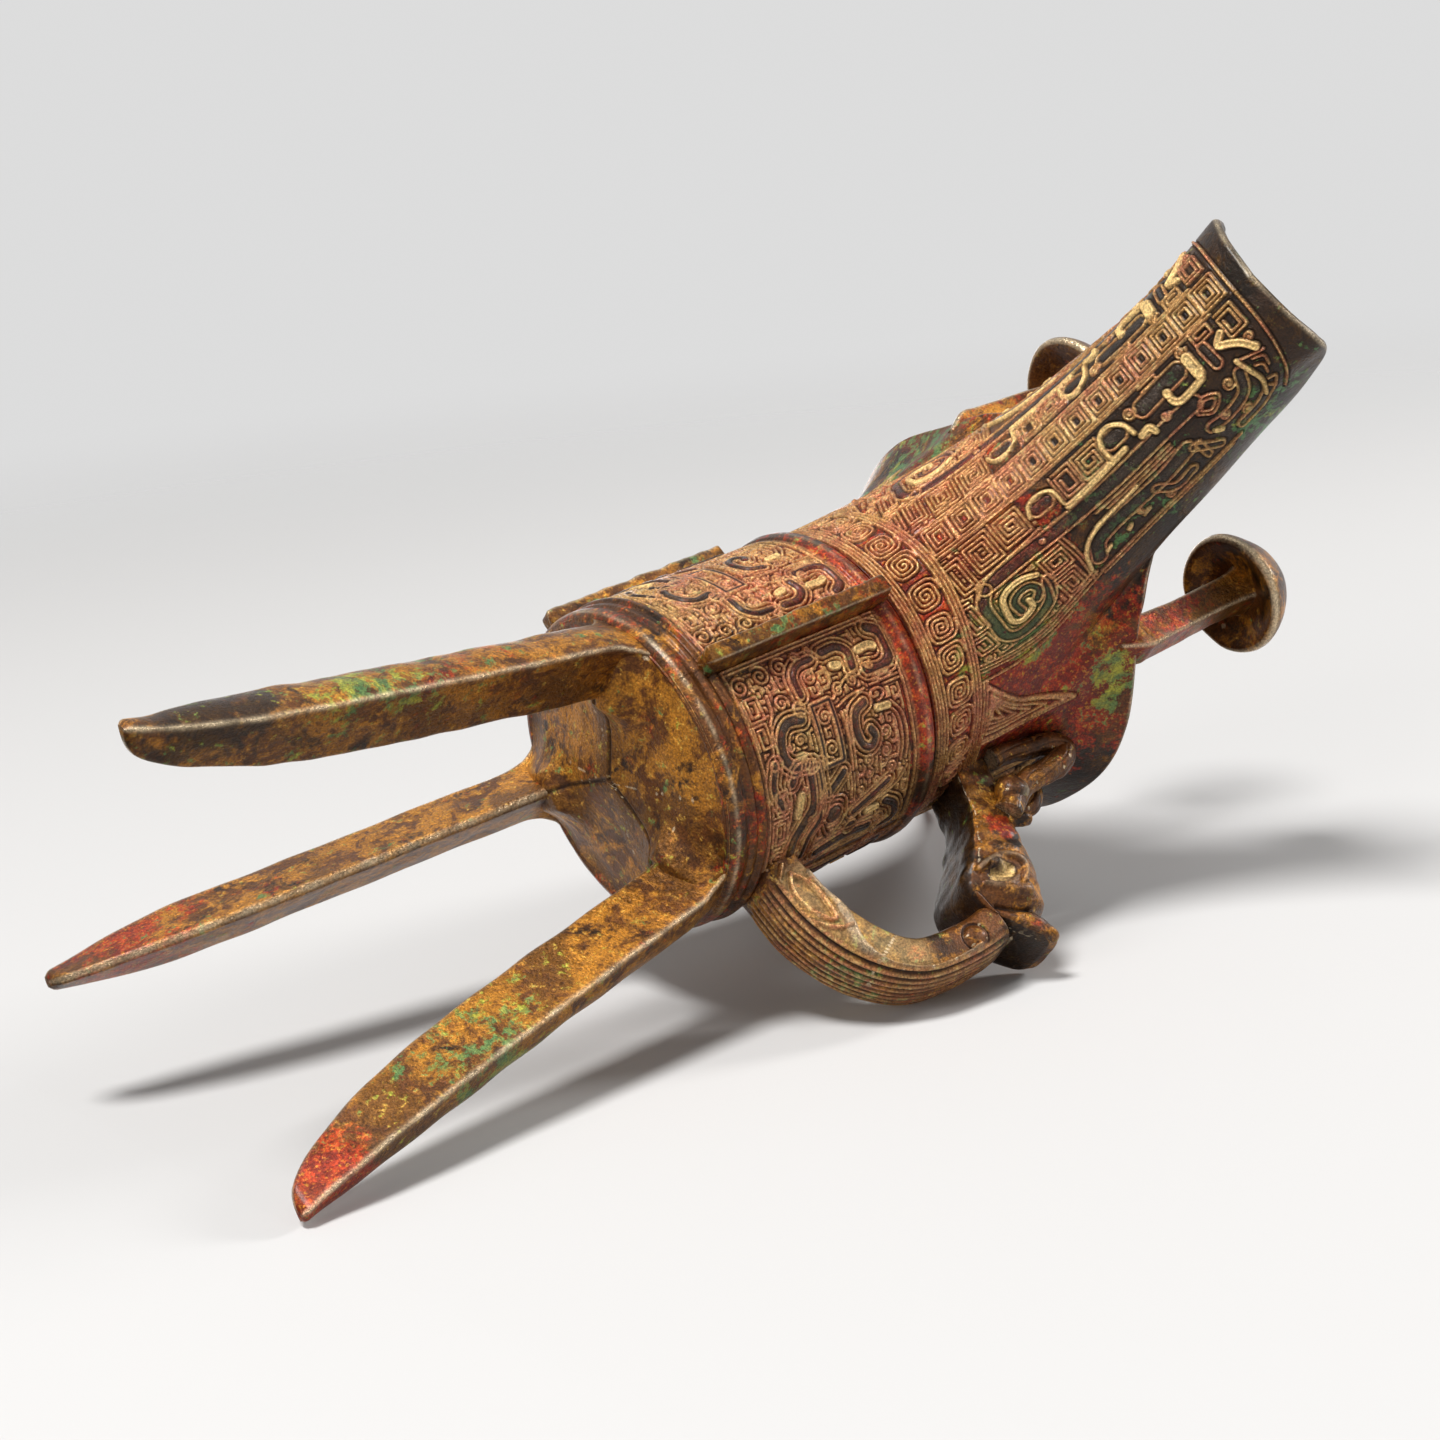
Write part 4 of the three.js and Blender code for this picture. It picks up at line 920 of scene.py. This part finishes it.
def buildBelly():
    c = bellyCanvas()
    b = belly
    names = [("belly_front_near", 180, 270, b["fineStep"]), ("belly_front_far", 180, 90, b["fineStep"]),
             ("belly_back_near", 360, 270, b["plainStep"]), ("belly_back_far", 0, 90, b["plainStep"])]
    for name, flangeAt, sideAt, step in names:
        skip = b["skip"]
        columns = int(b["quarter"] / step / skip) * skip + 1
        rows = int(45 / step / skip) * skip + 1
        z, share = np.meshgrid(np.linspace(88, 133, rows), np.linspace(-0.004, 1.004, columns), indexing="ij")
        angle = np.radians(flangeAt + (sideAt - flangeAt) * share)
        a = np.clip(share, 0, 1) * b["quarter"]
        press = ramp(z, 94.4, 96) * ramp(z, 129, 127.6)
        height = readCanvas(c, "height", a, z) * press
        r = ringRadius(b["profile"], z) + height
        outer = np.stack([r * np.cos(angle), r * np.sin(angle), z], -1)
        outer = outer + unit(outer * (1, 1, 0)) * (0.08 * waviness(outer, 14, 3))[..., None]
        ri = ringRadius(b["inner"], z[::skip, ::skip])
        t = angle[::skip, ::skip]
        inner = np.stack([ri * np.cos(t), ri * np.sin(t), np.maximum(z[::skip, ::skip], 88.4)], -1)
        points, faces = closedShell(outer, inner, skip)
        marks = {layer: readCanvas(c, layer, a, z) * press for layer in ("thread", "gap", "raised", "cream")}
        marks["seam"] = np.ones(z.shape)
        # pale along the bottom edge and the collar ring: partly wear, partly painted highlight
        marks["wearAndHighlight"] = (0.4 + 0.3 * waviness(outer, 5, 9)) * (np.exp(-((z - 89.3) / 0.32) ** 2) + 0.5
                                                               * np.exp(-((z - 130.2) / 0.4) ** 2))
        facingOut(makePiece(name, points, faces, "body_bronze", ["cup_belly"], marks))
    # the rounded bottom with its mould seams, swelling softly into the three legs, and the floor inside it
    n = 360
    turn = np.linspace(0, 2 * pi, n, endpoint=False)
    under = [(b["bottomRadius"] * s, b["bottomHeight"] - b["sag"] * (1 - s * s)) for s in np.linspace(0.02, 1, 130)]
    over = [(24.2, 89.2), (23.6, 90.4), (22.4, 91.6), (19, 91.2), (13, 90), (6, 88.9), (0.5, 88.6)]
    profile = np.array(under + over)
    rings = np.stack([profile[:, :1] * np.cos(turn), profile[:, :1] * np.sin(turn), np.repeat(profile[:, 1:], n, 1)],
                     -1)
    face, seamMark = rings[:130], np.zeros((130, n))
    s = np.hypot(face[..., 0], face[..., 1]) / b["bottomRadius"]
    ways = [(cos(radians(leg + 60)), sin(radians(leg + 60))) for leg in legs["angles"]]
    ax, ay = b["seamCentre"]
    facet = np.max([(face[..., 0] - ax) * x + (face[..., 1] - ay) * y for x, y in ways], axis=0) / b["bottomRadius"]
    face[..., 2] = b["bottomHeight"] - b["sag"] * (1 - facet) * ramp(s, 1.0, 0.7)
    for leg in legs["angles"]:
        dx, dy = 16 * cos(radians(leg)) - ax, 16 * sin(radians(leg)) - ay
        t = np.clip(((face[..., 0] - ax) * dx + (face[..., 1] - ay) * dy) / (dx * dx + dy * dy), 0, 1)
        d = np.hypot(face[..., 0] - ax - t * dx, face[..., 1] - ay - t * dy)
        face[..., 2] += 0.4 * np.exp(-(d / 0.35) ** 2)
        seamMark = np.maximum(seamMark, np.exp(-(d / 0.5) ** 2))
        a = radians(leg)
        out = face[..., 0] * cos(a) + face[..., 1] * sin(a)
        off = np.abs(-face[..., 0] * sin(a) + face[..., 1] * cos(a))
        away = np.hypot(np.clip(off - 3.4, 0, None), np.clip(15.4 - out, 0, None))
        face[..., 2] -= b["legSwell"] * np.exp(-(away / 2.2) ** 1.3) * (out > 0) * ramp(s, 1, 0.94)
    face[..., 2] += 0.16 * waviness(face, 9, 8)
    points, faces = closedSweep(rings)
    # the sunk mould seam lines are painted dark as shade
    facingOut(makePiece("cup_bottom", points, faces, "leg_bronze", ["cup_belly"], dict(gap=0.9 * seamMark)))
    print("belly made")


# the spout, mouth and tail: one skin from the round neck to the rim
cup = dict(neckHeight=133.0, neckRadius=26.5, wall=2.0, mouthHalfWidth=35.7, mouthHeight=171.3, throatAt=33.0,
           throatHeight=171.8, spoutReach=86.0, spoutHalfWidth=14.2, spoutTipHeight=191.0, spoutDepth=10.6,
           spoutLip=2.6,
           tailReach=78.0, tailTipHeight=194.0, tailCut=30.0, postAt=23.2, postHalfGap=24.2, postWidth=6.2,
           spoutTilt=37, spoutCut=36, fineStep=0.18, plainStep=0.34, skip=3)


def rimPoints():
    c = cup
    reach, half, top, deep, lip = (c[k] for k in ("spoutReach", "spoutHalfWidth", "spoutTipHeight", "spoutDepth",
                                                  "spoutLip"))
    throat, throatTop, mouth, mouthTop = (c[k] for k in ("throatAt", "throatHeight", "mouthHalfWidth", "mouthHeight"))
    tail, tailTop, cut = c["tailReach"], c["tailTipHeight"], c["tailCut"]
    return np.array([
        (-reach - lip, 0, top - deep), (-reach - lip * 0.7, half * 0.6, top - deep * 0.82),
        (-reach + lip * 0.2, half * 0.95, top - deep * 0.42), (-reach * 0.96, half, top - deep * 0.08),
        (-reach * 0.88, half, top + deep * 0.04), (-reach * 0.745, half, top - deep * 0.15),
        (-reach * 0.57, half * 1.03, throatTop + (top - throatTop) * 0.59),
        (-throat * 1.15, half * 1.2, throatTop + (top - throatTop) * 0.19),
        (-throat * 0.94, (half + c["postHalfGap"]) * 0.6, throatTop),
        (-c["postAt"], c["postHalfGap"] + c["postWidth"] / 2, throatTop),
        (-throat * 0.33, mouth * 0.95, mouthTop), (0, mouth, mouthTop),
        (cut * 0.5, mouth * 0.92, mouthTop + (tailTop - mouthTop) * 0.04),
        (cut, mouth * 0.74, mouthTop + (tailTop - mouthTop) * 0.19),
        (tail * 0.67, mouth * 0.4, mouthTop + (tailTop - mouthTop) * 0.56),
        (tail * 0.87, mouth * 0.21, mouthTop + (tailTop - mouthTop) * 0.84), (tail, 0, tailTop)])


def aroundShare(s):
    # how far round the neck, from the spout at 0 to the tail at 1
    return 0.62 * s + 0.38 * s * s * (3 - 2 * s)


def upperPoint(s, v):
    # far side; s goes along the rim from the spout's tip to the tail's, v from the neck up to the rim
    s, v = np.broadcast_arrays(np.asarray(s, float), np.asarray(v, float))
    edge = smoothPoint(rimPoints(), s)
    angle = pi * (1 - aroundShare(s))
    x0, y0 = cup["neckRadius"] * np.cos(angle), cup["neckRadius"] * np.sin(angle)
    spread = 0.28 * v + 0.72 * v ** 2.1
    return np.stack([x0 + (edge[..., 0] - x0) * spread, y0 + (edge[..., 1] - y0) * spread,
                     cup["neckHeight"] + (edge[..., 2] - cup["neckHeight"]) * v], -1)


def upperNormal(s, v):
    e = 1e-4
    s, v = np.clip(s, e, 1 - e), np.clip(v, e, 1 - e)
    along = upperPoint(s + e, v) - upperPoint(s - e, v)
    up = upperPoint(s, v + e) - upperPoint(s, v - e)
    return unit(np.cross(up, along))


def findShare(test, lowS=0.0, highS=1.0):
    for _ in range(40):
        mid = (lowS + highS) / 2
        if test(mid):
            highS = mid
        else:
            lowS = mid
    return mid


def spoutPlace(p):
    # how far out along the spout a point is, and how far round it from the keel
    tilt = radians(cup["spoutTilt"])

    def turned(q):
        x, z = q[..., 0] + cup["neckRadius"], q[..., 2] - cup["neckHeight"]
        return -x * cos(tilt) + z * sin(tilt), x * sin(tilt) + z * cos(tilt)

    a, lift = turned(p)
    keelA, keelLift = turned(upperPoint(0.0, np.linspace(0, 1, 300)))
    order = np.argsort(keelA)
    c = np.hypot(p[..., 1], lift - np.interp(a, keelA[order], keelLift[order]))
    return a, c * (1 + 0.12 * (c / 18) ** 2)


def buildUpper(name, s, v, side, slot, replaced, relief):
    skip = cup["skip"]
    base = upperPoint(s, v)
    normal = upperNormal(s, v)
    height, marks = relief(base, s, side)
    edge = (1 - v) * np.linalg.norm(upperPoint(s, np.ones_like(v)) - upperPoint(s, np.full_like(v, 0.98)),
                                    axis=-1) / 0.02
    rounding = 1 - np.sqrt(np.clip(1 - (1 - np.clip(edge, 0, 1)) ** 2, 0, 1))
    outer = base + normal * (height * ramp(edge, 0.6, 1.6) - rounding * cup["wall"] * 0.47)[..., None]
    outer = outer + normal * (0.12 * waviness(base, 17, 5) * ramp(v, 0, 0.1))[..., None]
    marks["seam"] = np.ones(v.shape)
    # pale along the rim: partly wear, partly painted highlight
    marks["wearAndHighlight"] = (0.42 + 0.3 * waviness(base, 6, 12)) * np.exp(-((edge - 0.3) / 0.3) ** 2)
    inner = (base - normal * (cup["wall"] * (1 - 0.47 * rounding))[..., None])[::skip, ::skip]
    points, faces = closedShell(outer, inner, skip)
    points[:, 1] *= side
    return facingOut(makePiece(name, points, faces, slot, replaced, marks))


def buildMouthParts(reliefs):
    skip = cup["skip"]
    spoutEdge = findShare(lambda s: upperPoint(s, 1.0)[0] > -cup["spoutCut"])
    tailEdge = findShare(lambda s: upperPoint(s, 1.0)[0] > cup["tailCut"])
    spoutRoot = findShare(lambda v: upperPoint(0.0, v)[0] < -cup["spoutCut"])
    tailRoot = findShare(lambda v: upperPoint(1.0, v)[0] > cup["tailCut"])
    corner = findShare(lambda s: upperPoint(s, 1.0)[1] > cup["spoutHalfWidth"] * 0.93)
    frontEnd = findShare(lambda s: cup["neckRadius"] * pi * aroundShare(s) > 40)

    def grid(rows, columns):
        rows, columns = (int(n / skip) * skip + 1 for n in (rows, columns))
        return np.meshgrid(np.linspace(0, 1, rows), np.linspace(0, 1, columns), indexing="ij")

    fine, plain = cup["fineStep"], cup["plainStep"]
    for side, word in ((-1, "near"), (1, "far")):
        p, q = grid(66 / fine, 27 / fine)     # the spout, from the throat to the tip
        keelV = spoutRoot - 0.012 + (1.012 - spoutRoot) * p
        rimS = spoutEdge + 0.006 + (corner - spoutEdge - 0.006) * p
        buildUpper("spout_" + word, rimS * q, keelV + (1 - keelV) * q, side, "body_bronze", ["spout"], reliefs["spout"])
        p, q = grid(42 / fine, 42 / fine)     # the front of the mouth
        s = q * frontEnd
        buildUpper("mouth_front_" + word, s, p * np.minimum(1, spoutRoot + (1 - spoutRoot) * s / spoutEdge), side,
                   "body_bronze", ["cup_mouth"], reliefs["front"])
        p, q = grid(42 / fine, 50 / plain)    # the back of the mouth
        s = frontEnd - 0.003 + (1.003 - frontEnd) * q
        buildUpper("mouth_back_" + word, s, p * np.minimum(1, tailRoot + (1 - tailRoot) * (1 - s) / (1 - tailEdge)),
                   side,
                   "body_bronze", ["cup_mouth"], reliefs["back"])
        p, q = grid(58 / plain, 32 / plain)   # the tail
        keelV = tailRoot - 0.012 + (1.012 - tailRoot) * p * 0.995
        rimS = tailEdge - 0.006 + (1.006 - tailEdge) * p * 0.995
        buildUpper("tail_" + word, 1 - (1 - rimS) * q, keelV + (1 - keelV) * q, side, "body_bronze", ["tail"],
                   reliefs["tail"])
    print("upper cup made")
# the spout's dragon panel, in distance out along the spout and distance round from its middle line
spoutMotifs = dict(
    middleShift=3.4, start=142.4,
    bands=[(2.7, [(12.4, 11.9), (20, 11.6), (30, 11.9), (41, 11.9), (52, 11.6), (58, 11.6)]),
           (2.2, [(12.2, 12.2), (10.4, 14.5), (9.8, 18.5), (9.7, 22), (11.2, 23.4), (15, 23.2), (18.9, 21.4),
                  (20.8, 18)]),
           (1.5, [(14.2, 19.8), (14.3, 17.4), (15.8, 16.4), (18, 16.6), (18.6, 18.4), (17.4, 19.6)]),
           (2.9, [(29.4, 21.4), (30.8, 18.9), (34, 18), (40, 17.8), (46, 17.8), (52, 17)]),
           (3.1, [(51.2, 6.3), (55, 6.1), (59.3, 6.0)]), (3.0, [(43.6, 6.6), (45.6, 6.6)]),
           (2.6, [(27.2, 6.9), (29.4, 6.9)]),
           (2.0, [(57.5, 17.2), (61, 17.6), (65, 16.5), (66.6, 13.5)]), (1.8, [(64.8, 6.2), (65, 9.6)]),
           (1.4, [(53, 17.6), (56.6, 21.4)]), (1.2, [(54, 17.8), (54, 21.2)]),
           (1.6, [(44, 18.6), (46.6, 21.4), (50.4, 21.2)]), (1.9, [(61.5, 21.5), (65.5, 21.2), (68.2, 20)])],
    cream=[(2.3, [(61.8, 5.6), (61.8, 8.8)]), (1.4, [(61.6, 9.6), (59, 9.9), (56.5, 9.8), (55.7, 8.9), (55.8, 7.7)]),
           (1.7, [(55.8, 7.4), (55.8, 7.6)]), (1.5, [(68.4, 6.5), (66.9, 7.6), (68.4, 8.7), (70, 10), (71.4, 12.2)]),
           (0.9, [(67.4, 11.6), (68, 14.2), (68.5, 17.4), (67.5, 20)]), (1.3, [(48.2, 9.6), (50, 9.4), (50.4, 10.6)]),
           (1.2, [(31.5, 10.0), (38, 9.7), (44.7, 9.3)]), (0.9, [(42, 9), (42, 6.2), (43, 4.8), (45, 4.6), (47, 6.2),
                                                                 (47.5, 8.4)]),
           (0.7, [(25.5, 7.4), (26.5, 5.6), (29, 5.2), (31, 6.2), (31.3, 9.2)]),
           (1.2, [(20, 15.7), (18, 14.7), (15.5, 14.6), (13.5, 15.4), (12.4, 17.9), (12.1, 20.4), (13, 21.2),
                  (16, 20.4), (16.3, 18.7)]),
           (0.8, [(27, 22.4), (28, 19.4), (30, 17.4), (33, 16.3), (37, 15.8), (42, 15.4)]),
           (1.0, [(57.5, 18.1), (58.5, 18.9)]),
           (0.8, [(36, 21.3), (36.8, 20.9)]), (0.8, [(31, 21.6), (32, 21.2)]), (0.8, [(39.5, 21.2), (40.8, 20.9)])],
    lines=[[(74.4, 0), (74.4, 9), (73.8, 14.4), (72.4, 19.4), (70.5, 22.4)],
           [(68, 11.9), (72, 13.4)], [(69.6, 13.2), (71.3, 14.2), (71, 16)], [(69.2, 14.4), (70.3, 15.2), (70, 17)],
           [(69.3, 18), (70.6, 18.6), (69.4, 20.4)], [(57.1, 13.6), (59.5, 11.9), (61.9, 13.6), (59.5, 15.3),
                                                      (57.1, 13.6)],
           [(58, 13.6), (59.5, 12.6), (61, 13.6), (59.5, 14.6), (58, 13.6)],
           [(34, 14.2), (50.5, 13.9)], [(36, 14.9), (50.5, 14.6)], [(38, 15.6), (50.5, 15.3)],
           [(28, 24.4), (42, 23.7), (60, 23.6)], [(28, 25.2), (42, 24.5), (58, 24.2)],
           [(10.5, 12.9), (12.5, 11.2), (16, 10.3), (19, 10.1), (25.5, 9.7)], [(26.5, 13.4), (26.8, 18), (26.2, 24.6)],
           [(27.3, 13.4), (27.5, 18), (26.9, 24.4)], [(20.2, 15.9), (20.6, 17.5), (20.3, 19.4), (19.2, 22.4)],
           [(3, 24.4), (10, 26.1), (15, 26.2), (20, 24.9), (27, 22.9)],
           [(3, 25.2), (10, 26.9), (15, 27), (20, 25.7), (27.4, 23.7)],
           [(2.6, 26), (10, 27.7), (15, 27.8), (20, 26.5), (28, 24.6)],
           [(1.5, 28.4), (8, 29.4), (13, 29.2), (20, 27.6)],
           [(41.9, 4.4), (41.9, 8.9)], [(31.8, 4.4), (31.8, 8.8)], [(3.6, 3.9), (3.4, 12), (2.2, 24)]],
    spirals=[(61.6, 4.1, 1.1, 1.6, 0, 1), (71.6, 10.2, 1.0, 1.5, 2, 1), (48.9, 5.4, 1.2, 1.7, 0, 1),
             (60.3, 17.1, 0.9, 1.3, 0, 1),
             (63.8, 19.6, 1.0, 1.4, 3, 1), (64.2, 13.4, 1.1, 1.6, 1, 1), (45, 21.8, 1.0, 1.4, 0, 1),
             (39.5, 19.9, 0.7, 1.2, 1, 1),
             (24.4, 11.6, 0.5, 1, 0, 1), (5.3, 24.0, 1.0, 1.5, 0, 1), (53.2, 9.9, 0.9, 1.4, 0, 1)],
    squares=[(69.3, 3.9, 72.7, 8.4), (64.2, 2.9, 67.6, 5.4), (32.5, 4.4, 36, 8.9), (36.6, 4.4, 41.4, 8.9),
             (13.5, 3.9, 18.5, 9.4),
             (19.3, 3.4, 24.7, 8.9), (9.3, 4.9, 12.3, 10.9), (6.3, 12.2, 9, 18.2), (4.7, 18.9, 8, 22.6),
             (21.4, 14, 26, 18.3),
             (21.3, 19, 25.5, 24.2), (4.6, 4.6, 8.4, 10.6), (52.6, 3.6, 56, 4.4)],
    keelRow=dict(first=9.8, last=69, length=4.9, half=2.45))

# the round band under the mouth and the blade leaves above it, in distance round the neck and height
neckMotifs = dict(lines=(133.6, 134.2, 134.8, 135.45, 141.0, 141.6, 142.2), spirals=2.6, height=138.2, pitch=5.6,
                  leaves=[(28.9, 6, 19, 16.5), (57, 6, 17, -6), (69.6, 6, 14, 0), (83, 7, 32, 0)])


def layKeelRow(c, b):
    # nested squares along the spout's middle line; the canvas is mirrored there
    x = b["first"]
    while x < b["last"]:
        for k in range(4):
            left, right, half = x + k * 0.74, x + b["length"] - 0.36 - k * 0.74, b["half"] - k * 0.72
            if half > 0.1 and right - left > 0.5:
                layLine(c, [(left, 0), (left, half), (right, half), (right, 0)], curved=False)
        x += b["length"]
    border = b["half"] + 0.62
    layLine(c, [(b["first"] - 1, border), (b["last"], border)], curved=False)


def spoutCanvas():
    m = spoutMotifs
    c = newCanvas(0, 82, 0, 40)
    for width, points in m["bands"]:
        layBand(c, width, points, threads=1)
    layKeelRow(c, m["keelRow"])
    for line in m["lines"]:
        layLine(c, line)
    laySpirals(c, m["spirals"], m["squares"])
    for width, points in m["cream"]:
        layCream(c, width * 0.85, points)
    fillGround(c, 3.5, 27, 3.4, 25, cell=2.7)
    return finishCanvas(c, lift=0.25)


def neckCanvas():
    m = neckMotifs
    c = newCanvas(-84, 84, 133, 196)
    for z in m["lines"]:
        layLine(c, [(-84, z), (84, z)], curved=False)
    for side in (-1, 1):
        a = 3.6 if side > 0 else -2.6
        while abs(a) < 82:
            hand = side if round(abs(a) / m["pitch"]) % 2 else -side
            layLine(c, roundSpiral(a, m["height"], m["spirals"], 3.3, 1.6, hand, 0.96, 0.9), curved=False)
            a += side * m["pitch"]
        for middle, half, tall, lean in m["leaves"]:
            for share in (1, 0.9, 0.7, 0.54, 0.38, 0.22):
                low = 143.6 + 0.09 * tall * (1 - share)
                corners = [(-half * share, low), (lean * share, 143.6 + tall * share), (half * share, low)]
                if share < 0.8:
                    corners.append(corners[0])
                layLine(c, [(side * (middle + x), z) for x, z in corners], curved=False)
        for z in (142.9, 143.5):
            layLine(c, [(side * 22, z), (side * 83, z)], curved=False)
    return finishCanvas(c)


def upperReliefs():
    spoutFace, neckFace = spoutCanvas(), neckCanvas()
    shift, start = spoutMotifs["middleShift"], spoutMotifs["start"]

    def onSpout(base, side, layer):
        a, c = spoutPlace(base)
        q = np.abs(c - side * shift)
        return readCanvas(spoutFace, layer, a, q) * ramp(base[..., 2], start - 0.1, start + 0.2) * (a < 78)

    def onNeck(base, s, side, layer):
        around = -side * cup["neckRadius"] * pi * aroundShare(s)
        return readCanvas(neckFace, layer, around, base[..., 2])

    def relief(parts):
        def press(base, s, side):
            fields = []
            for layer in ("height", "thread", "gap", "raised", "cream"):
                values = [onSpout(base, side, layer)] if "spout" in parts else []
                if "neck" in parts:
                    values.append(onNeck(base, s, side, layer))
                total = sum(values)
                fields.append(total if layer == "height" else np.clip(total, 0, 1))
            return fields[0], dict(thread=fields[1], gap=fields[2], raised=fields[3], cream=fields[4])
        return press

    return dict(spout=relief(["spout"]), front=relief(["spout", "neck"]), back=relief(["neck"]), tail=relief(["neck"]))
# camera, floor and light
shot = dict(place=(-371.6, -148.7, -155.4), lens=71.6,
            right=(-0.32138, -0.55662, 0.76609), up=(-0.54741, 0.76934, 0.32934), back=(-0.7727, -0.31352, -0.55195),
            floorUp=(-0.684, 0.722, 0.108))


def setCamera():
    data = bpy.data.cameras.new("photo_camera")
    data.sensor_width = 36
    data.lens = shot["lens"]
    data.clip_start, data.clip_end = 0.01, 50
    camera = bpy.data.objects.new("photo_camera", data)
    bpy.context.scene.collection.objects.link(camera)
    turn = Matrix([shot["right"], shot["up"], shot["back"]]).transposed().to_4x4()
    place = (Vector(shot["place"]) + Vector((axisX, axisY, 0))) * 0.001
    camera.matrix_world = Matrix.Translation(place) @ turn
    bpy.context.scene.camera = camera


def lamp(name, way, away, size, share):
    # share: how much of its written brightness a colour facing this lamp gets
    data = bpy.data.lights.new(name, "AREA")
    data.shape, data.size, data.energy = "DISK", size, share * pi ** 2 * away ** 2
    item = bpy.data.objects.new(name, data)
    bpy.context.scene.collection.objects.link(item)
    way = Vector(way).normalized()
    middle = Vector((axisX, axisY, 100)) * 0.001
    item.matrix_world = Matrix.Translation(middle + way * away) @ way.to_track_quat("Z", "Y").to_matrix().to_4x4()


def seenRays(nodes, links):
    # 1 for what the camera sees, straight or in metal or glass
    ray = nodes.new("ShaderNodeLightPath")
    best = ray.outputs["Is Camera Ray"]
    for name in ("Is Glossy Ray", "Is Transmission Ray"):
        node = nodes.new("ShaderNodeMath")
        node.operation = "MAXIMUM"
        links.new(best, node.inputs[0])
        links.new(ray.outputs[name], node.inputs[1])
        best = node.outputs[0]
    return best


def floorMaterial():
    material = bpy.data.materials.new("pale_floor")
    material.use_nodes = True
    nodes, links = material.node_tree.nodes, material.node_tree.links
    shader = nodes["Principled BSDF"]
    shader.inputs["Base Color"].default_value = (0.62, 0.61, 0.6, 1)
    shader.inputs["Roughness"].default_value = 0.75
    clear = nodes.new("ShaderNodeBsdfTransparent")
    mix = nodes.new("ShaderNodeMixShader")
    facing = nodes.new("ShaderNodeNewGeometry")
    seen = seenRays(nodes, links)           # seen from its upper side only, and never in the way of the light
    coordinates = nodes.new("ShaderNodeTexCoord")
    away = nodes.new("ShaderNodeVectorMath")
    away.operation = "LENGTH"
    fade = nodes.new("ShaderNodeMapRange")    # far off the floor goes over into the pale backdrop
    fade.interpolation_type = "SMOOTHSTEP"
    for name, value in (("From Min", 0.9), ("From Max", 0.35)):
        fade.inputs[name].default_value = value
    links.new(coordinates.outputs["Object"], away.inputs[0])
    links.new(away.outputs["Value"], fade.inputs["Value"])
    near = nodes.new("ShaderNodeMath")
    near.operation = "MULTIPLY"
    front = nodes.new("ShaderNodeMath")
    front.operation = "SUBTRACT"
    front.use_clamp = True
    links.new(seen, front.inputs[0])
    links.new(facing.outputs["Backfacing"], front.inputs[1])
    links.new(front.outputs[0], near.inputs[0])
    links.new(fade.outputs[0], near.inputs[1])
    links.new(near.outputs[0], mix.inputs[0])
    links.new(clear.outputs[0], mix.inputs[1])
    links.new(shader.outputs[0], mix.inputs[2])
    links.new(mix.outputs[0], nodes["Material Output"].inputs["Surface"])
    return material


def setStage():
    scene = bpy.context.scene
    scene.view_settings.view_transform = "Standard"
    material = floorMaterial()
    up = Vector(shot["floorUp"]).normalized()
    middle = Vector((axisX, axisY, 100)) * 0.001
    lowest = min(restingHeights(up, middle))
    for name, normal, place in (("lying_floor", up, middle + up * (lowest - 0.0004)),
                                ("standing_floor", Vector((0, 0, 1)), Vector((0, 0, -0.0004)))):
        mesh = bpy.data.meshes.new(name)
        corners = [(-1, -1, 0), (1, -1, 0), (1, 1, 0), (-1, 1, 0)]
        mesh.from_pydata(corners, [], [(0, 1, 2, 3)])
        mesh.materials.append(material)
        item = bpy.data.objects.new(name, mesh)
        scene.collection.objects.link(item)
        item.matrix_world = Matrix.Translation(place) @ normal.to_track_quat("Z", "Y").to_matrix().to_4x4()
    world = bpy.data.worlds.new("studio")
    world.use_nodes = True
    background = world.node_tree.nodes["Background"]
    background.inputs["Color"].default_value = (0.72, 0.72, 0.72, 1)
    nodes, links = world.node_tree.nodes, world.node_tree.links
    dim = nodes.new("ShaderNodeMapRange")     # pale to look at and in reflections, faint as a light
    dim.inputs["To Min"].default_value = 0.24
    links.new(seenRays(nodes, links), dim.inputs["Value"])
    links.new(dim.outputs[0], background.inputs["Strength"])
    scene.world = world
    right, above, back = (Vector(shot[k]) for k in ("right", "up", "back"))
    lamp("key", up + above * 0.25 + back * 0.55 - right * 0.4, 1.7, 0.5, 1.15)
    lamp("glint", up * 0.5 + right * 0.75 - back * 0.25, 1.2, 0.3, 0.5)
    lamp("fill", back - right * 0.9, 1.5, 0.9, 0.35)
    lamp("far_fill", Vector((0.7, 0.3, 0.5)), 1.5, 0.9, 0.3)


def restingHeights(up, middle):
    # how low each piece reaches along the lying floor's upright
    for item in bpy.context.scene.objects:
        if item.type == "MESH" and not item.hide_render:
            co = np.empty(len(item.data.vertices) * 3)
            item.data.vertices.foreach_get("co", co)
            yield float(((co.reshape(-1, 3) - middle) @ np.array(up)).min())


buildBelly()
buildMouthParts(upperReliefs())
buildLegs()
buildPosts()
buildFlanges()
buildStrap()
buildHead()
setCamera()
setStage()
